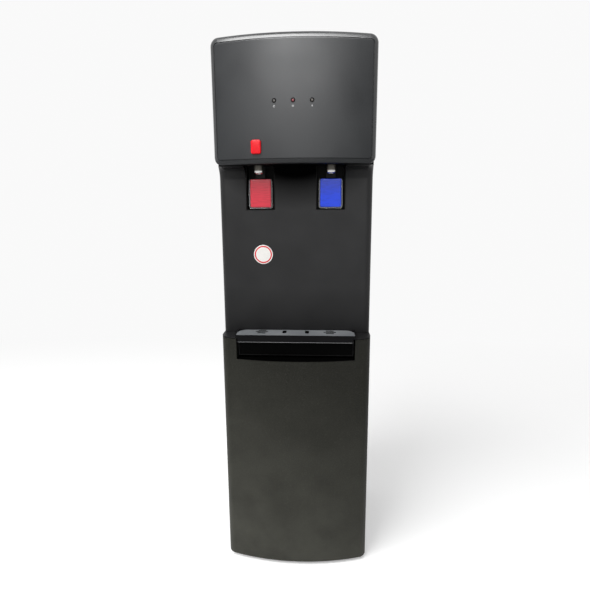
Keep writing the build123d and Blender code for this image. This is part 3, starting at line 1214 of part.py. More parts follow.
with BuildPart() as condenser_tube:
    with BuildLine() as serpentine:
        for run in range(CONDENSER_RUNS):
            z = CONDENSER_Z + run * CONDENSER_PITCH
            way = 1 if run % 2 == 0 else -1
            near = (-way * CONDENSER_END, CONDENSER_Y, z)
            far = (way * CONDENSER_END, CONDENSER_Y, z)
            Line(near, far)
            if run < CONDENSER_RUNS - 1:
                tip = (way * (CONDENSER_END + BEND_R), CONDENSER_Y, z + BEND_R)
                ThreePointArc(far, tip, (far[0], CONDENSER_Y, z + CONDENSER_PITCH))
    with BuildSketch(Plane((-CONDENSER_END, CONDENSER_Y, CONDENSER_Z), z_dir=(1, 0, 0))) as ring:
        Circle(TUBE_R)
    sweep(ring.sketch, path=serpentine.wire())
save(condenser_tube, "condenser_tube")

with BuildPart() as condenser_wires:
    wire_pitch = 2 * (CONDENSER_END - 3) / (CONDENSER_WIRES - 1)
    for row in (-1, 1):
        y = CONDENSER_Y + row * (TUBE_R + WIRE_R + 0.05)
        for number in range(CONDENSER_WIRES):
            x = -CONDENSER_END + 3 + number * wire_pitch
            rod((x, y, CONDENSER_Z - 10), (x, y, CONDENSER_TOP + 10), WIRE_R)
save(condenser_wires, "condenser_wires")

STRAP_THICK = 1.2
with BuildPart() as condenser_straps:
    for side in (-1, 1):
        x = side * (CONDENSER_END + 8)
        span = (x - 4, x + 4)
        flat = CONDENSER_Y - TUBE_R - 0.05
        ends = (CONDENSER_Z - 22, CONDENSER_TOP + 22)
        block(span, (flat - STRAP_THICK, flat), ends)
        for z, out in ((ends[0], -1), (ends[1], 1)):
            riser = sorted((z, z - out * STRAP_THICK))
            block(span, (REAR_SKIN, flat), riser)
            foot = sorted((z - out * STRAP_THICK, z + out * 12))
            block(span, (REAR_SKIN, REAR_SKIN + STRAP_THICK), foot)
save(condenser_straps, "condenser_straps")

SPACER_X = HALF - 25.0
with BuildPart() as wall_spacers:
    for side in (-1, 1):
        x = side * SPACER_X
        block((x - 8, x + 8), (REAR_SKIN, BACK), (SWITCH_Z - 30, SWITCH_Z + 10))
    fillet(wall_spacers.edges().filter_by(Axis.Y), 3)
save(wall_spacers, "wall_spacers")
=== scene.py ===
import bmesh
import bpy
import json
from math import cos, pi, radians, sin, sqrt

from mathutils import Matrix, Vector

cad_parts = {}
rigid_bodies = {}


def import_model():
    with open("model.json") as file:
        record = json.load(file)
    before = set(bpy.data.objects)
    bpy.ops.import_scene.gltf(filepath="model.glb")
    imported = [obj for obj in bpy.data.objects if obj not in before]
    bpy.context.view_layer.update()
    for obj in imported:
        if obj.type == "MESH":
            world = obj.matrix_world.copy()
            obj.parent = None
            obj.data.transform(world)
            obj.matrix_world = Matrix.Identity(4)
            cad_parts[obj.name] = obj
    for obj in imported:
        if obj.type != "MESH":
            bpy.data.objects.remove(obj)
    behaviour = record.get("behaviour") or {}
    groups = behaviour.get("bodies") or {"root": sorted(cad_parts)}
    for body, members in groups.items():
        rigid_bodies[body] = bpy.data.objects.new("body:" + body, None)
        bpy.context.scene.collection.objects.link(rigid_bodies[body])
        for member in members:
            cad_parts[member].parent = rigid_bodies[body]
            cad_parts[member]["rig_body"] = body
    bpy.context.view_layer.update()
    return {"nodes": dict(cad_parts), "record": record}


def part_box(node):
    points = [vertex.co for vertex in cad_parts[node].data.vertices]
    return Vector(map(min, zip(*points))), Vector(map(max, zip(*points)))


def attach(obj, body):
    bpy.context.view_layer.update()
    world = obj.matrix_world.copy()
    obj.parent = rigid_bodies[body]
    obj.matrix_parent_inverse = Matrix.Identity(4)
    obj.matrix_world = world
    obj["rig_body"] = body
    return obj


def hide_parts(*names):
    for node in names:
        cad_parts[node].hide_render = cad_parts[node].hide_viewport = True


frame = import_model()
MM = 0.001

# Finishes; the heights and places that they follow are in metres

# Where the column's painted shade lies, under the head and just above the tray
HEAD_FOOT = (0, 0, 0.868)
HEAD_SHADE_REACH = (0.17, 0.115)
TRAY_SHADE = (0.505, 0.6)
# Centre of the painted highlight on the head's face
PAINTED_HIGHLIGHT_CENTRE = (-0.015, 0, 1.04)
# Heights over which the door's painted light pales it towards the floor
PAINTED_LIGHT_HEIGHTS = (0.03, 0.44)
CUSHION_SHADE = (0.782, 0.808)
# Heights where the nozzle's painted reflection turns from dark to bright
NOZZLE_MOUTH = (0.8232, 0.8262)
LABEL_CENTRE = (-0.065, 0, 0.665)
LABEL_RING_INSIDE = (0.01455, 0.0148)
LABEL_RING_OUTSIDE = (0.0172, 0.01745)


def finish(name, colour, roughness, **sockets):
    """New material with its even values set on the shader."""
    material = bpy.data.materials.new(name)
    material.use_nodes = True
    shader = material.node_tree.nodes["Principled BSDF"]
    shader.inputs["Base Color"].default_value = (*colour, 1)
    shader.inputs["Roughness"].default_value = roughness
    for socket, value in sockets.items():
        shader.inputs[socket.replace("_", " ")].default_value = value
    return material, material.node_tree, shader


def add(tree, kind, **values):
    """Node of one kind, with sockets set by name or linked."""
    node = tree.nodes.new("ShaderNode" + kind)
    for name, value in values.items():
        socket = node.inputs[name.replace("_", " ")]
        if isinstance(value, bpy.types.NodeSocket):
            tree.links.new(value, socket)
        else:
            socket.default_value = value
    return node


def place_on(tree, centre=(0, 0, 0), stretch=(1, 1, 1)):
    """Object coordinates about a centre, stretched per axis."""
    spot = add(tree, "TexCoord").outputs["Object"]
    moved = add(tree, "VectorMath", Vector=spot)
    moved.operation = "SUBTRACT"
    moved.inputs[1].default_value = centre
    scaled = add(tree, "VectorMath", Vector=moved.outputs[0])
    scaled.operation = "MULTIPLY"
    scaled.inputs[1].default_value = stretch
    return scaled.outputs[0]


def noise(tree, spot, size, detail=2.0):
    """Noise whose lumps are about size metres across."""
    return add(tree, "TexNoise", Vector=spot, Scale=1 / size, Detail=detail).outputs["Fac"]


def ramp(tree, value, low, high, from_low=0.35, from_high=0.65):
    """Value carried from one range to another."""
    node = add(tree, "MapRange", Value=value)
    node.inputs["From Min"].default_value = from_low
    node.inputs["From Max"].default_value = from_high
    node.inputs["To Min"].default_value = low
    node.inputs["To Max"].default_value = high
    return node.outputs["Result"]


def tint(tree, factor, first, second):
    """Colour between two others."""
    node = tree.nodes.new("ShaderNodeMix")
    node.data_type = "RGBA"
    tree.links.new(factor, node.inputs["Factor"])
    for socket, colour in ((node.inputs["A"], first), (node.inputs["B"], second)):
        if isinstance(colour, bpy.types.NodeSocket):
            tree.links.new(colour, socket)
        else:
            socket.default_value = (*colour, 1)
    return node.outputs["Result"]


def combined(tree, operation, first, second):
    """Sum, product or larger of two values."""
    node = add(tree, "Math")
    node.operation = operation
    tree.links.new(first, node.inputs[0])
    tree.links.new(second, node.inputs[1])
    return node.outputs[0]


def distance(tree, spot):
    """How far a spot lies from the centre of its coordinates."""
    node = add(tree, "VectorMath", Vector=spot)
    node.operation = "LENGTH"
    return node.outputs["Value"]


def height_of(tree, spot):
    """Rise of a spot above the floor."""
    return add(tree, "SeparateXYZ", Vector=spot).outputs["Z"]


def relief(tree, shader, height, depth):
    """Bump from a height, depth in metres."""
    node = add(tree, "Bump", Height=height, Distance=depth)
    tree.links.new(node.outputs["Normal"], shader.inputs["Normal"])


def moulded(name, colour, cloudy, roughness, grain=0.9, depth=0.03, **sockets):
    """Injection-moulded plastic: spark-eroded grain, slow unevenness of tone, faint rub marks."""
    material, tree, shader = finish(name, colour, roughness, **sockets)
    spot = place_on(tree)
    clouds = noise(tree, spot, 0.09, 3)
    fine = noise(tree, spot, grain * MM, 2)
    tone = tint(tree, ramp(tree, clouds, 0, 1), colour, cloudy)
    bright = [min(1, 1.9 * c + 0.004) for c in cloudy]
    speck = tint(tree, ramp(tree, fine, 0, 0.22, 0.45, 0.75), tone, bright)
    tree.links.new(speck, shader.inputs["Base Color"])
    rubbed = ramp(tree, clouds, roughness - 0.05, roughness + 0.06)
    tree.links.new(rubbed, shader.inputs["Roughness"])
    relief(tree, shader, fine, depth * MM)
    return material


def glossy_plastic(name, colour, darker, roughness=0.12, **sockets):
    """Smooth dyed plastic with a slight ripple."""
    material, tree, shader = finish(name, colour, roughness, **sockets)
    spot = place_on(tree)
    ripple = noise(tree, spot, 6 * MM, 1)
    tree.links.new(tint(tree, ramp(tree, ripple, 0, 1), colour, darker), shader.inputs["Base Color"])
    relief(tree, shader, ripple, 0.04 * MM)
    return material


def sheet_metal(name, colour, bright, roughness, stretch=(1, 1, 1), size=0.004, **sockets):
    """Metal with a crystal or brushed figure."""
    material, tree, shader = finish(name, colour, roughness, Metallic=1.0, **sockets)
    spot = place_on(tree, stretch=stretch)
    figure = noise(tree, spot, size, 3)
    tree.links.new(tint(tree, ramp(tree, figure, 0, 1), colour, bright), shader.inputs["Base Color"])
    tree.links.new(ramp(tree, figure, roughness - 0.06, roughness + 0.08), shader.inputs["Roughness"])
    relief(tree, shader, figure, 0.01 * MM)
    return material


def painted(name, colour, bright, roughness, peel=1.6, **sockets):
    """Powder or enamel paint with orange peel."""
    material, tree, shader = finish(name, colour, roughness, **sockets)
    spot = place_on(tree)
    skin = noise(tree, spot, peel * MM, 1)
    clouds = noise(tree, spot, 0.12, 2)
    tree.links.new(tint(tree, ramp(tree, clouds, 0, 1), colour, bright), shader.inputs["Base Color"])
    relief(tree, shader, skin, 0.03 * MM)
    return material


def soft_rubber(name, colour, dusty, roughness=0.7, **sockets):
    """Rubber with a dusty bloom."""
    material, tree, shader = finish(name, colour, roughness, **sockets)
    spot = place_on(tree)
    bloom = noise(tree, spot, 0.008, 4)
    tree.links.new(tint(tree, ramp(tree, bloom, 0, 0.7), colour, dusty), shader.inputs["Base Color"])
    relief(tree, shader, noise(tree, spot, 0.8 * MM, 2), 0.04 * MM)
    return material


def painted_highlight_plastic(name, colour, cloudy, roughness, near, far, centre, spread):
    """Moulded plastic with a painted highlight: its specular level is strongest about one spot, fitted to
    the photograph's highlight.
    """
    material = moulded(name, colour, cloudy, roughness)
    tree = material.node_tree
    painted_sheen = ramp(tree, distance(tree, place_on(tree, centre, spread)), near, far, 0, 1)
    tree.links.new(painted_sheen, tree.nodes["Principled BSDF"].inputs["Specular IOR Level"])
    return material


def painted_shade_plastic(name, colour, cloudy, roughness, gloss):
    """Moulded plastic with painted shade where the photograph shades it: darker and duller under the head,
    duller just above the tray.
    """
    material = moulded(name, colour, cloudy, roughness)
    tree = material.node_tree
    shader = tree.nodes["Principled BSDF"]
    across, down = HEAD_SHADE_REACH
    under_head = place_on(tree, HEAD_FOOT, (1 / across, 0, 1 / down))
    open_light = ramp(tree, distance(tree, under_head), 0, 1, 0.45, 1.0)
    above_tray = ramp(tree, height_of(tree, place_on(tree)), 0.45 * gloss, gloss, *TRAY_SHADE)
    tree.links.new(combined(tree, "MULTIPLY", open_light, above_tray), shader.inputs["Specular IOR Level"])
    face = shader.inputs["Base Color"].links[0].from_socket
    # Painted shade: under the head the base colour falls towards a tenth of itself
    tree.links.new(tint(tree, open_light, [0.1 * c for c in colour], face), shader.inputs["Base Color"])
    return material


def door_grain_and_painted_light(name, colour, dusty, roughness, **sockets):
    """Grained door plastic with fine specks and scuffs, and painted light: paler towards the floor and
    towards the left.
    """
    material, tree, shader = finish(name, colour, roughness, **sockets)
    spot = place_on(tree)
    height = add(tree, "VectorMath", Vector=spot)
    height.operation = "DOT_PRODUCT"
    height.inputs[1].default_value = (0.35, 0, 1)  # painted light: paler towards the left, too
    rise = height.outputs["Value"]
    clouds = noise(tree, spot, 0.06, 4)
    fine = noise(tree, spot, 0.9 * MM, 2)
    scuffs = noise(tree, place_on(tree, stretch=(1, 1, 0.7)), 0.003, 3)
    # Painted light: towards the floor and the left the door tints to its paler colour
    low = ramp(tree, rise, 1, 0.12, *PAINTED_LIGHT_HEIGHTS)
    settled = combined(tree, "MULTIPLY", low, ramp(tree, clouds, 0.7, 1.0))
    base = tint(tree, settled, colour, dusty)
    speck = tint(tree, ramp(tree, fine, 0, 0.3, 0.5, 0.75), base, [1.7 * c + 0.004 for c in dusty])
    marked = tint(tree, ramp(tree, scuffs, 0, 0.12, 0.64, 0.75), speck, [2.2 * c for c in dusty])
    tree.links.new(marked, shader.inputs["Base Color"])
    tree.links.new(ramp(tree, clouds, roughness - 0.04, roughness + 0.06), shader.inputs["Roughness"])
    relief(tree, shader, fine, 0.035 * MM)
    return material


def paddle_cushion(name, colour, shade):
    """Dyed cushion, darker towards its top where the head shades it, with faint level ripples."""
    material, tree, shader = finish(name, colour, 0.32)
    rise = height_of(tree, place_on(tree))
    ripple = noise(tree, place_on(tree, stretch=(0.12, 0.12, 1)), 1.6 * MM, 2)
    topward = ramp(tree, rise, 0, 0.25, *CUSHION_SHADE)
    streak = ramp(tree, ripple, 0, 0.3, 0.45, 0.7)
    total = combined(tree, "ADD", topward, streak)
    tree.links.new(tint(tree, total, colour, shade), shader.inputs["Base Color"])
    relief(tree, shader, ripple, 0.03 * MM)
    return material


def nozzle_painted_reflection(name, dark, bright):
    """Plated nozzle with a painted reflection: dark above, bright at its chamfered mouth, where it is also
    smoother.
    """
    material, tree, shader = finish(name, dark, 0.3, Metallic=1.0)
    # Painted reflection: the colour turns bright below the mouth's height
    mouth = ramp(tree, height_of(tree, place_on(tree)), 1, 0, *NOZZLE_MOUTH)
    tree.links.new(tint(tree, mouth, dark, bright), shader.inputs["Base Color"])
    tree.links.new(ramp(tree, mouth, 0.34, 0.2, 0, 1), shader.inputs["Roughness"])
    relief(tree, shader, noise(tree, place_on(tree), 2 * MM, 2), 0.012 * MM)
    return material


def ringed_card(name, white, red, centre):
    """White printed card with a plain red ring near its rim."""
    material, tree, shader = finish(name, white, 0.4)
    away = distance(tree, place_on(tree, centre, (1, 0, 1)))
    inside = ramp(tree, away, 0, 1, *LABEL_RING_INSIDE)
    outside = ramp(tree, away, 1, 0, *LABEL_RING_OUTSIDE)
    ring = combined(tree, "MULTIPLY", inside, outside)
    paper = noise(tree, place_on(tree), 1.2 * MM, 2)
    aged = tint(tree, ramp(tree, paper, 0, 1), white, [0.93 * c for c in white])
    tree.links.new(tint(tree, ring, aged, red), shader.inputs["Base Color"])
    relief(tree, shader, paper, 0.01 * MM)
    return material


finishes = {
    # The head's face carries a painted highlight about one spot
    "head_plastic": painted_highlight_plastic(
        "head_plastic", (0.011, 0.012, 0.0135), (0.016, 0.0175, 0.019), 0.4, 0.54, 0.27,
        PAINTED_HIGHLIGHT_CENTRE, (1 / 0.18, 0, 1 / 0.32),
    ),
    "head_rim": moulded(
        "head_rim", (0.011, 0.012, 0.013), (0.016, 0.0175, 0.019), 0.22, depth=0.012, Specular_IOR_Level=0.6
    ),
    # Painted shade: a near-black, almost unreflective finish for places that lie in shadow
    "painted_shadow_black": moulded(
        "painted_shadow_black", (0.001, 0.001, 0.001), (0.0015, 0.0015, 0.0015), 0.5, Specular_IOR_Level=0.02
    ),
    # Painted highlight: a paler, glossier finish for the tray's bead line
    "painted_bead_highlight": finish("painted_bead_highlight", (0.03, 0.03, 0.032), 0.3, Specular_IOR_Level=0.6)[0],
    "light_ink": finish("light_ink", (0.62, 0.62, 0.62), 0.5)[0],
    # column_plastic has painted shade under the head and just above the tray
    "column_plastic": painted_shade_plastic(
        "column_plastic", (0.009, 0.009, 0.0095), (0.012, 0.012, 0.0125), 0.4, 0.25
    ),
    # door_plastic: grain, specks and scuffs, with painted light that pales it towards the floor and the
    # left
    "door_plastic": door_grain_and_painted_light(
        "door_plastic", (0.007, 0.007, 0.005), (0.058, 0.058, 0.048), 0.42, Specular_IOR_Level=0.12
    ),
    "tray_plastic": moulded(
        "tray_plastic", (0.0025, 0.0025, 0.003), (0.004, 0.004, 0.0045), 0.34, Specular_IOR_Level=0.07
    ),
    "grille_grey": moulded("grille_grey", (0.13, 0.14, 0.15), (0.2, 0.21, 0.22), 0.4),
    "niche_black": moulded(
        "niche_black", (0.0025, 0.0025, 0.0025), (0.004, 0.004, 0.004), 0.5, Specular_IOR_Level=0.12
    ),
    "lever_black": moulded(
        "lever_black", (0.004, 0.004, 0.004), (0.007, 0.007, 0.007), 0.45, Specular_IOR_Level=0.15
    ),
    "paddle_clear": glossy_plastic(
        "paddle_clear", (0.93, 0.94, 0.94), (0.8, 0.81, 0.82), 0.1, Transmission_Weight=0.9, IOR=1.49
    ),
    "insert_red": paddle_cushion("insert_red", (0.68, 0.028, 0.056), (0.32, 0.01, 0.02)),
    "insert_blue": paddle_cushion("insert_blue", (0.003, 0.056, 0.82), (0.002, 0.025, 0.36)),
    "button_red": glossy_plastic(
        "button_red", (0.8, 0.003, 0.012), (0.72, 0.003, 0.01), 0.35, Specular_IOR_Level=0.24
    ),
    # Painted reflection on the spouts: dark above, bright at the mouth
    "spout_chrome": nozzle_painted_reflection("spout_chrome", (0.085, 0.08, 0.07), (0.72, 0.71, 0.7)),
    "white_plastic": moulded("white_plastic", (0.72, 0.71, 0.68), (0.8, 0.79, 0.76), 0.4),
    "side_paint": painted(
        "side_paint", (0.022, 0.022, 0.023), (0.028, 0.028, 0.029), 0.38, Specular_IOR_Level=0.3
    ),
    "galvanised": sheet_metal("galvanised", (0.38, 0.39, 0.4), (0.55, 0.56, 0.57), 0.42, size=0.012),
    "stainless": sheet_metal("stainless", (0.5, 0.5, 0.49), (0.62, 0.62, 0.61), 0.3, stretch=(1, 1, 20)),
    "pin_steel": sheet_metal("pin_steel", (0.42, 0.42, 0.43), (0.55, 0.55, 0.56), 0.3),
    "rubber": soft_rubber("rubber", (0.012, 0.012, 0.012), (0.04, 0.04, 0.038)),
    "gasket_rubber": soft_rubber("gasket_rubber", (0.09, 0.09, 0.09), (0.14, 0.14, 0.135), 0.6),
    "liner_grey": moulded("liner_grey", (0.3, 0.31, 0.32), (0.36, 0.37, 0.38), 0.38),
    "aluminium_band": sheet_metal("aluminium_band", (0.6, 0.61, 0.62), (0.75, 0.75, 0.76), 0.35),
    "foam_white": moulded("foam_white", (0.82, 0.82, 0.79), (0.92, 0.92, 0.9), 0.8, grain=3.0, depth=0.3),
    "board_green": moulded("board_green", (0.01, 0.11, 0.035), (0.015, 0.16, 0.05), 0.35),
    "lens_clear": glossy_plastic("lens_clear", (0.05, 0.05, 0.05), (0.09, 0.08, 0.07), 0.1),
    "lens_red": glossy_plastic("lens_red", (0.16, 0.02, 0.03), (0.24, 0.05, 0.06), 0.1),
    "label_white": ringed_card("label_white", (0.8, 0.78, 0.75), (0.62, 0.02, 0.03), LABEL_CENTRE),
    "hose_silicone": soft_rubber("hose_silicone", (0.6, 0.6, 0.57), (0.75, 0.75, 0.72), 0.4),
    "compressor_black": painted("compressor_black", (0.008, 0.008, 0.008), (0.014, 0.014, 0.014), 0.22),
    "cast_block": sheet_metal("cast_block", (0.12, 0.12, 0.12), (0.2, 0.2, 0.2), 0.6),
    "copper": sheet_metal("copper", (0.62, 0.27, 0.15), (0.75, 0.38, 0.24), 0.34, size=0.01),
    "condenser_black": painted("condenser_black", (0.01, 0.01, 0.01), (0.016, 0.016, 0.016), 0.5),
    "rocker_red": glossy_plastic("rocker_red", (0.5, 0.008, 0.008), (0.42, 0.006, 0.006), 0.2),
    "rocker_green": glossy_plastic("rocker_green", (0.008, 0.26, 0.045), (0.006, 0.2, 0.035), 0.2),
}
slots = {part["node"]: part["material_slot"] for part in frame["record"]["subparts"]}
for name, node in frame["nodes"].items():
    node.data.materials.clear()
    node.data.materials.append(finishes[slots[name]])


# Shaping


HARD_ANGLE = 32  # degrees; a sharper edge is kept as an edge
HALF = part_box("head_fascia")[1].x
BOW = 24 * MM
BOW_R = (HALF**2 + BOW**2) / (2 * BOW)


def bow_back(x):
    """How far the bowed fronts lie behind their middle at x."""
    return BOW_R - sqrt(max(BOW_R**2 - x**2, 0))


def piece(bm, name, material, body, stands_for=(), angle=HARD_ANGLE):
    """Finished mesh as an object that rides on a body."""
    mesh = bpy.data.meshes.new(name)
    bm.to_mesh(mesh)
    bm.free()
    thing = bpy.data.objects.new(name, mesh)
    bpy.context.scene.collection.objects.link(thing)
    return settle(thing, material, body, stands_for, angle)


def settle(thing, material, body, stands_for=(), angle=HARD_ANGLE):
    """Smooth shading with sharp edges, finish, body and the nodes it stands for."""
    thing.data.polygons.foreach_set("use_smooth", [True] * len(thing.data.polygons))
    thing.data.set_sharp_from_angle(angle=radians(angle))
    thing.data.materials.clear()
    thing.data.materials.append(finishes[material])
    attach(thing, body)
    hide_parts(*stands_for)
    return thing


def box(bm, low, high):
    """Closed box between two corners; gives its corners back."""
    size = Vector(high) - Vector(low)
    middle = (Vector(high) + Vector(low)) / 2
    place = Matrix.Translation(middle) @ Matrix.Diagonal((*size, 1))
    return bmesh.ops.create_cube(bm, size=1, matrix=place)["verts"]


def rod(bm, start, end, radius, segments=32):
    """Round bar from start to end."""
    run = Vector(end) - Vector(start)
    turn = run.to_track_quat("Z", "Y").to_matrix().to_4x4()
    at = Matrix.Translation((Vector(start) + Vector(end)) / 2) @ turn
    bmesh.ops.create_cone(
        bm, cap_ends=True, segments=segments, radius1=radius, radius2=radius, depth=run.length, matrix=at
    )


def rounded_face(bm, low, high, radius, segments=8):
    """First face of a new mesh: upright, looking to -Y, with rounded corners; low and high share one y."""
    x0, y, z0 = low
    x1, z1 = high[0], high[2]
    corners = [bm.verts.new(c) for c in ((x0, y, z0), (x1, y, z0), (x1, y, z1), (x0, y, z1))]
    bm.faces.new(corners)
    bmesh.ops.bevel(
        bm, geom=corners, offset=radius, segments=segments, profile=0.5, affect="VERTICES",
        clamp_overlap=True, material=-1,
    )
    return bm.faces[:][0]


def pull(bm, face, shift):
    """Extrude one face by a shift and return the moved face."""
    made = bmesh.ops.extrude_face_region(bm, geom=[face])["geom"]
    verts = [v for v in made if isinstance(v, bmesh.types.BMVert)]
    bmesh.ops.translate(bm, verts=verts, vec=shift)
    return [f for f in made if isinstance(f, bmesh.types.BMFace)][0]


def slice_across(bm, step):
    """Cuts every face at regular x, so that it can bend."""
    count = int(2 * HALF / step)
    for number in range(1, count):
        x = -HALF + number * 2 * HALF / count
        geom = bm.verts[:] + bm.edges[:] + bm.faces[:]
        bmesh.ops.bisect_plane(bm, geom=geom, dist=1e-6, plane_co=(x, 0, 0), plane_no=(1, 0, 0))


def bend(bm, flat_from):
    """Bows everything in front of a y plane."""
    for vert in bm.verts:
        if vert.co.y < flat_from:
            vert.co.y += bow_back(vert.co.x)


def cut(thing, *cutters):
    """Takes closed meshes out of a piece that isn't settled yet."""
    for cutter in cutters:
        mesh = bpy.data.meshes.new("cutter")
        bmesh.ops.recalc_face_normals(cutter, faces=cutter.faces[:])
        cutter.to_mesh(mesh)
        cutter.free()
        tool = bpy.data.objects.new("cutter", mesh)
        bpy.context.scene.collection.objects.link(tool)
        change = thing.modifiers.new("cut", "BOOLEAN")
        change.operation = "DIFFERENCE"
        change.solver = "EXACT"
        change.object = tool
        bpy.context.view_layer.update()
        shaped = bpy.data.meshes.new_from_object(thing.evaluated_get(bpy.context.evaluated_depsgraph_get()))
        thing.modifiers.clear()
        thing.data = shaped
        bpy.data.objects.remove(tool)
    return thing


def loose(bm, name):
    """Mesh as an object that is still to be cut."""
    mesh = bpy.data.meshes.new(name)
    bmesh.ops.recalc_face_normals(bm, faces=bm.faces[:])
    bm.to_mesh(mesh)
    bm.free()
    thing = bpy.data.objects.new(name, mesh)
    bpy.context.scene.collection.objects.link(thing)
    return thing


def even_shading(thing):
    """Large flat faces keep their own shading right up to their rounded edges."""
    change = thing.modifiers.new("even shading", "WEIGHTED_NORMAL")
    change.keep_sharp = True
    return thing


def refinish(thing, material, test):
    """Second finish on the faces that pass a test."""
    thing.data.materials.append(finishes[material])
    number = len(thing.data.materials) - 1
    for face in thing.data.polygons:
        if test(face):
            face.material_index = number


def softened(node, radius):
    """Copy of a CAD node with its hard edges rounded by a radius in millimetres."""
    bm = bmesh.new()
    bm.from_mesh(frame["nodes"][node].data)
    bmesh.ops.remove_doubles(bm, verts=bm.verts[:], dist=1e-6)
    bmesh.ops.dissolve_limit(bm, angle_limit=radians(1), verts=bm.verts[:], edges=bm.edges[:])
    hard = [e for e in bm.edges if len(e.link_faces) == 2 and e.calc_face_angle() > radians(HARD_ANGLE)]
    if hard:
        bmesh.ops.bevel(
            bm, geom=hard, offset=radius * MM, segments=2, profile=0.5,
            affect="EDGES", clamp_overlap=True, material=-1,
        )
    body = frame["nodes"][node]["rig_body"]
    return even_shading(piece(bm, node + "_softened", slots[node], body, [node]))


def mm(*values):
    """Millimetres to a vector in metres."""
    return Vector([value * MM for value in values])


def lathe(bm, profile, foot, axis=(0, 0, 1), segments=48):
    """Closed ring turned from (radius, rise) points in millimetres about an axis through foot."""
    axis = Vector(axis)
    side = axis.orthogonal().normalized()
    verts = [bm.verts.new(Vector(foot) + side * r * MM + axis * h * MM) for r, h in profile]
    edges = [bm.edges.new(pair) for pair in zip(verts, verts[1:] + verts[:1])]
    bmesh.ops.spin(
        bm, geom=verts + edges, cent=foot, axis=axis, angle=2 * pi, steps=segments, use_merge=True
    )
    bmesh.ops.remove_doubles(bm, verts=bm.verts[:], dist=1e-7)


def sides_out(bm):
    """Turns every face of a closed mesh outwards."""
    bmesh.ops.recalc_face_normals(bm, faces=bm.faces[:])
    return bm


def step_rings(bm, face, rings):
    """Steps a face through (inward, forward) rings in millimetres."""
    for inward, forward in rings:
        bmesh.ops.inset_region(
            bm, faces=[face], thickness=inward * MM, depth=forward * MM, use_even_offset=True,
            use_boundary=True,
        )


def prism(bm, low, high, radius, rings=(), segments=8):
    """Bar along Y with rounded corners; its -Y end steps through (inward, forward) rings in millimetres."""
    face = rounded_face(bm, (low[0], high[1], low[2]), (high[0], high[1], high[2]), radius, segments)
    bmesh.ops.duplicate(bm, geom=[face])
    face = pull(bm, face, (0, low[1] - high[1], 0))
    step_rings(bm, face, rings)
    bmesh.ops.remove_doubles(bm, verts=bm.verts[:], dist=1e-7)
    return sides_out(bm)


# Head


TAP_X = 68.5
SPOUT_Y = -118
SPOUT_HOLE_R = 9.5 * MM
LAMP_Z, LAMP_PITCH = 942, 33.5
LAMP_PLACES = (-LAMP_PITCH, 0, LAMP_PITCH)
LAMP_HOLE_R = 4.15 * MM
FACE_Y = -159.3
BUTTON = (-67.5, 864.5)
BUTTON_HALF = (9, 12)
BUTTON_PLAY = 0.35
RIM = 8.5 * MM
TALLER_RIM = 3.2 * MM  # how much wider the rim is at the top of the face
RIM_DEPTH = 8.7 * MM
RIM_ROLL = 6.2 * MM
HEAD_WALL = 2.5 * MM
SLICE = 3 * MM


def head_shell():
    """Bowed front before its holes: side returns, rounded rim band, fine groove and face."""
    low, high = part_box("head_fascia")
    back, front = high.y, low.y
    bm = bmesh.new()
    face = rounded_face(bm, (low.x, back, low.z), (high.x, back, high.z), 14 * MM, 10)
    face = pull(bm, face, (0, front + RIM_DEPTH - back, 0))
    rings = [
        (0.4, 1.6), (0.8, 1.45), (1.1, 1.3), (1.5, 1.2), (1.5, 0.95), (1.2, 0.7), (0.9, 0.4),
        (0.3, -1.2), (0.9, 0.0), (0.3, 1.2), (0.5, 0.3), (0.8, 0.1),
    ]
    step_rings(bm, face, rings)
    open_back = [f for f in bm.faces if all(v.co.y > back - 1e-6 for v in f.verts)]
    bmesh.ops.delete(bm, geom=open_back, context="FACES")
    middle = (low.z + high.z) / 2
    for vert in bm.verts:
        inwards = min(1, max(0, front + RIM_DEPTH - vert.co.y) / RIM_ROLL)
        if vert.co.z > middle:
            vert.co.z -= TALLER_RIM * inwards * (vert.co.z - middle) / (high.z - middle)
    slice_across(bm, SLICE)
    bend(bm, back - 1 * MM)
    bmesh.ops.recalc_face_normals(bm, faces=bm.faces[:])
    bmesh.ops.solidify(bm, geom=bm.faces[:], thickness=HEAD_WALL)
    return bm


def head_piece():
    """Bowed front with its holes."""
    holes = []
    for x in LAMP_PLACES:
        bm = bmesh.new()
        rod(bm, mm(x, -165, LAMP_Z), mm(x, -146, LAMP_Z), LAMP_HOLE_R, segments=40)
        holes.append(bm)
    x, z = BUTTON
    wide, tall = [half + BUTTON_PLAY for half in BUTTON_HALF]
    bm = bmesh.new()
    prism(bm, mm(x - wide, -165, z - tall), mm(x + wide, -140, z + tall), 3.9 * MM)
    holes.append(bm)
    for x in (-TAP_X, TAP_X):
        bm = bmesh.new()
        rod(bm, mm(x, SPOUT_Y, 830), mm(x, SPOUT_Y, 842), SPOUT_HOLE_R, segments=40)
        holes.append(bm)
    shell = cut(loose(head_shell(), "head_shell"), *holes)
    settle(shell, "head_plastic", "cabinet", ["head_fascia"])
    low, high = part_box("head_fascia")
    refinish(shell, "head_rim", lambda face: face.center.z > low.z + RIM and (
        abs(face.center.x) > HALF - RIM or face.center.z > high.z - RIM - TALLER_RIM
    ))
    # Painted shade: the head's downward faces are made near black
    refinish(shell, "painted_shadow_black", lambda face: face.normal.z < -0.9)
    even_shading(shell)


MARK_DROP = 9.5


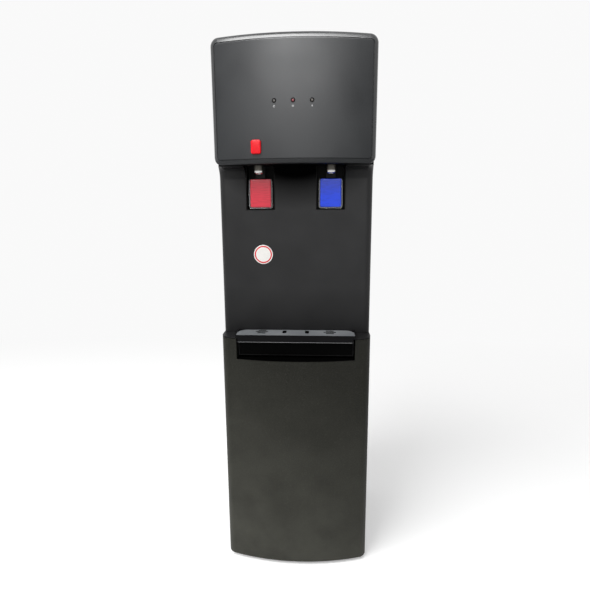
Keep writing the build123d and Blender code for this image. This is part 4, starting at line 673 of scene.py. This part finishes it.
def lamp_marks():
    """Plain pictograms printed under the lamps: a switch ring, three heat bars, a frost star."""
    for x, kind in zip(LAMP_PLACES, ("ring", "bars", "star")):
        foot = mm(x, FACE_Y - 0.02 + bow_back(x * MM) / MM, LAMP_Z - MARK_DROP)
        bm = bmesh.new()
        if kind == "ring":
            lathe(bm, [(1.25, -0.2), (1.25, 0.06), (1.7, 0.06), (1.7, -0.2)], foot, (0, -1, 0), 32)
            box(bm, foot + mm(-0.22, -0.06, 0), foot + mm(0.22, 0.2, 2.3))
        if kind == "bars":
            for shift in (-1.3, 0, 1.3):
                box(bm, foot + mm(shift - 0.25, -0.06, -1.6), foot + mm(shift + 0.25, 0.2, 1.6))
        if kind == "star":
            for turn in (0, 60, 120):
                verts = box(bm, mm(-0.22, -0.06, -1.8), mm(0.22, 0.2, 1.8))
                bmesh.ops.rotate(bm, verts=verts, matrix=Matrix.Rotation(radians(turn), 3, "Y"))
                bmesh.ops.translate(bm, verts=verts, vec=foot)
        marks = piece(sides_out(bm), "lamp_mark", "head_plastic", "cabinet")
        marks.data.materials[0] = finishes["light_ink"]


def lamps():
    """Three black bezels with domed lenses; the middle lens is dark red."""
    bezel = [(2.5, -6), (2.5, 0.0), (2.9, 0.5), (3.5, 0.55), (3.95, 0.1), (4.05, -0.5), (4.05, -6)]
    dome = [(0, -5), (2.45, -5), (2.45, -0.6), (2.1, 0.1), (1.4, 0.4), (0.7, 0.55), (0, 0.6)]
    for x in LAMP_PLACES:
        foot, out = mm(x, FACE_Y + bow_back(x * MM) / MM, LAMP_Z), (0, -1, 0)
        bm = bmesh.new()
        lathe(bm, bezel, foot, out)
        piece(sides_out(bm), "lamp_bezel", "niche_black", "cabinet", ["led_lenses"])
        bm = bmesh.new()
        lathe(bm, dome, foot, out)
        lens = piece(sides_out(bm), "lamp_lens", "lens_clear", "cabinet", ["led_lenses"], 60)
        if x == 0:
            lens.data.materials[0] = finishes["lens_red"]


def lock_button():
    """Cushioned cap, its retaining flange and guide stem."""
    x, z = BUTTON
    wide, tall = BUTTON_HALF
    bm = bmesh.new()
    rings = [(0.25, 0.5), (0.4, 0.45), (0.6, 0.35), (0.8, 0.25), (0.9, 0.15)]
    prism(bm, mm(x - wide, -158.0, z - tall), mm(x + wide, -149.4, z + tall), 3.5 * MM, rings)
    piece(bm, "lock_button_cap", "button_red", "child_lock", ["child_lock_button"], 50)
    bm = bmesh.new()
    low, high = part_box("child_lock_button")
    box(bm, (low.x, -149.9 * MM, low.z), (high.x, -148.0 * MM, high.z))
    rod(bm, mm(x, -148.2, z), (x * MM, high.y, z * MM), 4 * MM)
    piece(bm, "lock_button_stem", "button_red", "child_lock", ["child_lock_button"])


# Taps


def spout(x):
    """Bright turned nozzle with a chamfered mouth and a collar inside the head."""
    profile = [
        (5.0, 20), (5.0, 1.2), (5.3, 0.4), (5.9, 0.0), (6.6, 0.1), (8.5, 2.2), (8.95, 2.9), (9.0, 3.6),
        (9.0, 18.0), (13.0, 18.0), (13.0, 19.8), (9.0, 19.8), (9.0, 25.0), (5.0, 25.0),
    ]
    bm = bmesh.new()
    lathe(bm, profile, mm(x, SPOUT_Y, 820), segments=64)
    piece(sides_out(bm), "spout", "spout_chrome", "cabinet", ["spouts"], 40)


def paddle(x, side):
    """Clear frame open at the top, with a raised rounded rim; coloured cushion that fills it to the top."""
    body = f"{side}_paddle"
    low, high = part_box(f"paddle_frame_{side}")
    bm = bmesh.new()
    rings = [(0.3, 0.5), (0.4, 0.4), (0.5, 0.1), (0.6, -0.1), (0.4, -0.5), (0.15, -1.6)]
    prism(bm, (low.x, low.y + 1.0 * MM, low.z), high, 6 * MM, rings)
    top = bmesh.new()
    open_top = Vector((low.x, low.y, high.z)), Vector((high.x, low.y, high.z))
    box(top, open_top[0] + mm(2.6, -1, -5), open_top[1] + mm(-2.6, 2.3, 1))
    settle(cut(loose(bm, f"{side}_paddle_frame"), top), "paddle_clear", body, [f"paddle_frame_{side}"], 40)
    bm = bmesh.new()
    low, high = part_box(f"paddle_insert_{side}")
    rings = [(0.25, 0.35), (0.45, 0.3), (0.9, 0.25), (1.2, 0.1)]
    prism(bm, (low.x, low.y + 0.95 * MM, low.z), (high.x, high.y, high.z + 2.9 * MM), 3.0 * MM, rings)
    colour = "insert_red" if side == "hot" else "insert_blue"
    piece(bm, f"{side}_paddle_insert", colour, body, [f"paddle_insert_{side}"], 50)


# Label and rear screws


def label():
    """Round card, slightly proud, with a softened rim."""
    low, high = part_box("sticker_disc")
    centre = ((low.x + high.x) / 2, high.y, (low.z + high.z) / 2)
    bm = bmesh.new()
    lathe(bm, [(0, 0), (19, 0), (19, 0.28), (18.85, 0.38), (18.6, 0.4), (0, 0.4)], centre, (0, -1, 0), 96)
    piece(sides_out(bm), "round_label", "label_white", "cabinet", ["sticker_disc"])


def rear_screws():
    """Pan heads with a cross recess, all copies of one pattern."""
    bm = bmesh.new()
    lathe(bm, [(0, 0), (3.6, 0), (3.6, 0.5), (3.2, 1.2), (2.2, 1.8), (0, 2.0)], (0, 0, 0), (0, 1, 0), 24)
    slots = []
    for wide, tall, floor in ((3.5, 0.72, 1.0), (0.7, 3.6, 0.93)):
        slot = bmesh.new()
        box(slot, Vector((-wide / 2, floor, -tall / 2)) * MM, Vector((wide / 2, floor + 2, tall / 2)) * MM)
        slots.append(slot)
    pattern = cut(loose(sides_out(bm), "screw_pattern"), *slots)
    low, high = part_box("screws")
    inset = 3.6 * MM
    rows = 5
    for x in (low.x + inset, high.x - inset):
        for row in range(rows):
            z = low.z + inset + row * (high.z - low.z - 2 * inset) / (rows - 1)
            bm = bmesh.new()
            bm.from_mesh(pattern.data)
            bmesh.ops.translate(bm, verts=bm.verts[:], vec=(x, low.y, z))
            piece(bm, "rear_screw", "pin_steel", "cabinet", ["screws"])
    bpy.data.objects.remove(pattern)


head_piece()
lamps()
lamp_marks()
lock_button()
for side, x in (("hot", -TAP_X), ("cold", TAP_X)):
    spout(x)
    paddle(x, side)
label()
rear_screws()

# Moulded and folded pieces keep their outline and lose their sharp edges

EDGE_RADII = {
    "column_panel": 0.8, "niche_liners": 0.4, "deck": 1.4, "drip_tray": 0.9, "tray_grille": 0.35,
    "door_shell": 1.0, "door_inner": 0.5, "top_cover": 0.8, "bottle_seat": 0.6, "bottle_spike": 0.4,
    "feet": 0.5, "side_panel_left": 0.25, "side_panel_right": 0.25, "base_pan": 0.4, "tap_bodies": 0.6,
    "paddle_lever_hot": 0.4, "paddle_lever_cold": 0.4, "cabinet_liner": 0.8, "storage_shelf": 0.5,
    "switch_frame": 0.5, "rocker_hot": 0.4, "rocker_cold": 0.4, "drain_cap": 0.4, "drain_spigot": 0.4,
    "cord_gland": 0.4, "start_relay": 0.6, "cold_tank_foam": 1.2, "door_hinges": 0.3, "tank_shelf": 0.3,
    "wall_spacers": 0.8, "condenser_straps": 0.25, "door_gasket": 0.8, "rear_panel": 0.2,
}
moulded_pieces = {node: softened(node, radius) for node, radius in EDGE_RADII.items()}
TRAY_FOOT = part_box("drip_tray")[1].z - 15.3 * MM
BEAD = 2.5 * MM
# Painted shade: the tray box's front below the lip is made near black
refinish(moulded_pieces["drip_tray"], "painted_shadow_black", lambda face: (
    face.normal.y < -0.5 and face.center.z < TRAY_FOOT
))
# Painted highlight: the bead's upward faces get the paler, glossier finish
refinish(moulded_pieces["drip_tray"], "painted_bead_highlight", lambda face: (
    face.normal.z > 0.3 and TRAY_FOOT < face.center.z < TRAY_FOOT + BEAD
))
grille_low, grille_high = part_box("tray_grille")
SLOTS_FROM = grille_low.y + 5 * MM
SLOTS_TO = grille_high.x - 22 * MM
# Painted shade: the grey grille's slot walls get the near-black niche finish
refinish(moulded_pieces["tray_grille"], "niche_black", lambda face: (
    abs(face.normal.z) < 0.6 and face.center.y > SLOTS_FROM and abs(face.center.x) < SLOTS_TO
))
# Painted shade in the door's notch recess: its faces there are made near black
NOTCH_LOW, NOTCH_HIGH = 425 * MM, 458.5 * MM
NOTCH_HALF = 125 * MM
NOTCH_FRONT = -147.5 * MM
for name in ("door_shell", "door_inner"):
    refinish(moulded_pieces[name], "painted_shadow_black", lambda face: (
        NOTCH_LOW < face.center.z < NOTCH_HIGH
        and abs(face.center.x) < NOTCH_HALF
        and face.center.y > NOTCH_FRONT
    ))

# Stage


BACKDROP = 0.95
FLOOR_LIFT = 0.34


def stage_floor():
    """Pale floor that fades into the white surroundings."""
    bm = bmesh.new()
    bmesh.ops.create_circle(bm, cap_ends=True, segments=96, radius=9)
    mesh = bpy.data.meshes.new("floor")
    bm.to_mesh(mesh)
    bm.free()
    floor = bpy.data.objects.new("floor", mesh)
    bpy.context.scene.collection.objects.link(floor)
    material, tree, shader = finish("floor", (0.93, 0.93, 0.93), 0.8)
    far = ramp(tree, distance(tree, place_on(tree, stretch=(0.4, 1, 0))), 0, 1, 0.4, 1.6)
    glow = add(tree, "Emission", Color=(1, 1, 1, 1), Strength=BACKDROP)
    lift = add(tree, "Emission", Color=(1, 1, 1, 1))
    seen = add(tree, "LightPath").outputs["Is Camera Ray"]
    tree.links.new(ramp(tree, seen, 0, FLOOR_LIFT, 0, 1), lift.inputs["Strength"])
    lit = tree.nodes.new("ShaderNodeAddShader")
    tree.links.new(shader.outputs[0], lit.inputs[0])
    tree.links.new(lift.outputs[0], lit.inputs[1])
    mix = tree.nodes.new("ShaderNodeMixShader")
    tree.links.new(far, mix.inputs[0])
    tree.links.new(lit.outputs[0], mix.inputs[1])
    tree.links.new(glow.outputs[0], mix.inputs[2])
    tree.links.new(mix.outputs[0], tree.nodes["Material Output"].inputs["Surface"])
    mesh.materials.append(material)


def white_surroundings(level):
    """World that lights at a level and shows white to the camera and in reflections."""
    world = bpy.data.worlds.new("surroundings")
    bpy.context.scene.world = world
    world.use_nodes = True
    tree = world.node_tree
    back = tree.nodes["Background"]
    back.inputs["Color"].default_value = (1, 1, 1, 1)
    path = add(tree, "LightPath")
    seen = path.outputs["Is Camera Ray"]
    for ray in ("Is Glossy Ray", "Is Transmission Ray"):
        seen = combined(tree, "MAXIMUM", seen, path.outputs[ray])
    tree.links.new(ramp(tree, seen, level, BACKDROP, 0, 1), back.inputs["Strength"])


def softbox(name, spot, aim, size, power):
    """Rectangular soft lamp pointed at a place."""
    lamp = bpy.data.lights.new(name, "AREA")
    lamp.shape = "RECTANGLE"
    lamp.size, lamp.size_y = size
    lamp.energy = power
    thing = bpy.data.objects.new(name, lamp)
    thing.location = spot
    thing.rotation_euler = (Vector(aim) - Vector(spot)).to_track_quat("-Z", "Y").to_euler()
    bpy.context.scene.collection.objects.link(thing)
    return thing


def bright_card(name, spot, aim, size, power):
    """Glowing card that shows in glossy plastic and gives no other light."""
    card = softbox(name, spot, aim, size, power)
    card.visible_diffuse = False


def photo_camera():
    """Camera where the photograph was taken from."""
    data = bpy.data.cameras.new("camera")
    data.lens = 27.79
    data.sensor_width = 36
    data.clip_start = 0.05
    camera = bpy.data.objects.new("camera", data)
    pitch, roll, yaw = 0.1892, -0.0064, -0.0593
    ahead = Vector((sin(yaw) * cos(pitch), cos(yaw) * cos(pitch), -sin(pitch)))
    level = Vector((cos(yaw), -sin(yaw), 0))
    upright = level.cross(ahead)
    right = level * cos(roll) + upright * sin(roll)
    up = -level * sin(roll) + upright * cos(roll)
    turn = Matrix((right, up, -ahead)).transposed()
    camera.matrix_world = Matrix.Translation((0.0517, -1.0061, 0.7564)) @ turn.to_4x4()
    bpy.context.scene.collection.objects.link(camera)
    bpy.context.scene.camera = camera


stage_floor()
white_surroundings(0.4)
overhead = softbox("overhead", spot=(-1.3, -1.4, 2.6), aim=(0, 0, 0.6), size=(2.0, 1.8), power=80)
overhead.visible_glossy = False
bright_card("front card", spot=(-0.1, -3.2, 2.25), aim=(0, -0.1, 0.9), size=(2.6, 0.9), power=66)
bright_card("top card", spot=(-0.1, -0.8, 2.4), aim=(0, -0.15, 1), size=(1.8, 0.9), power=60)
photo_camera()
bpy.context.scene.view_settings.view_transform = "Standard"
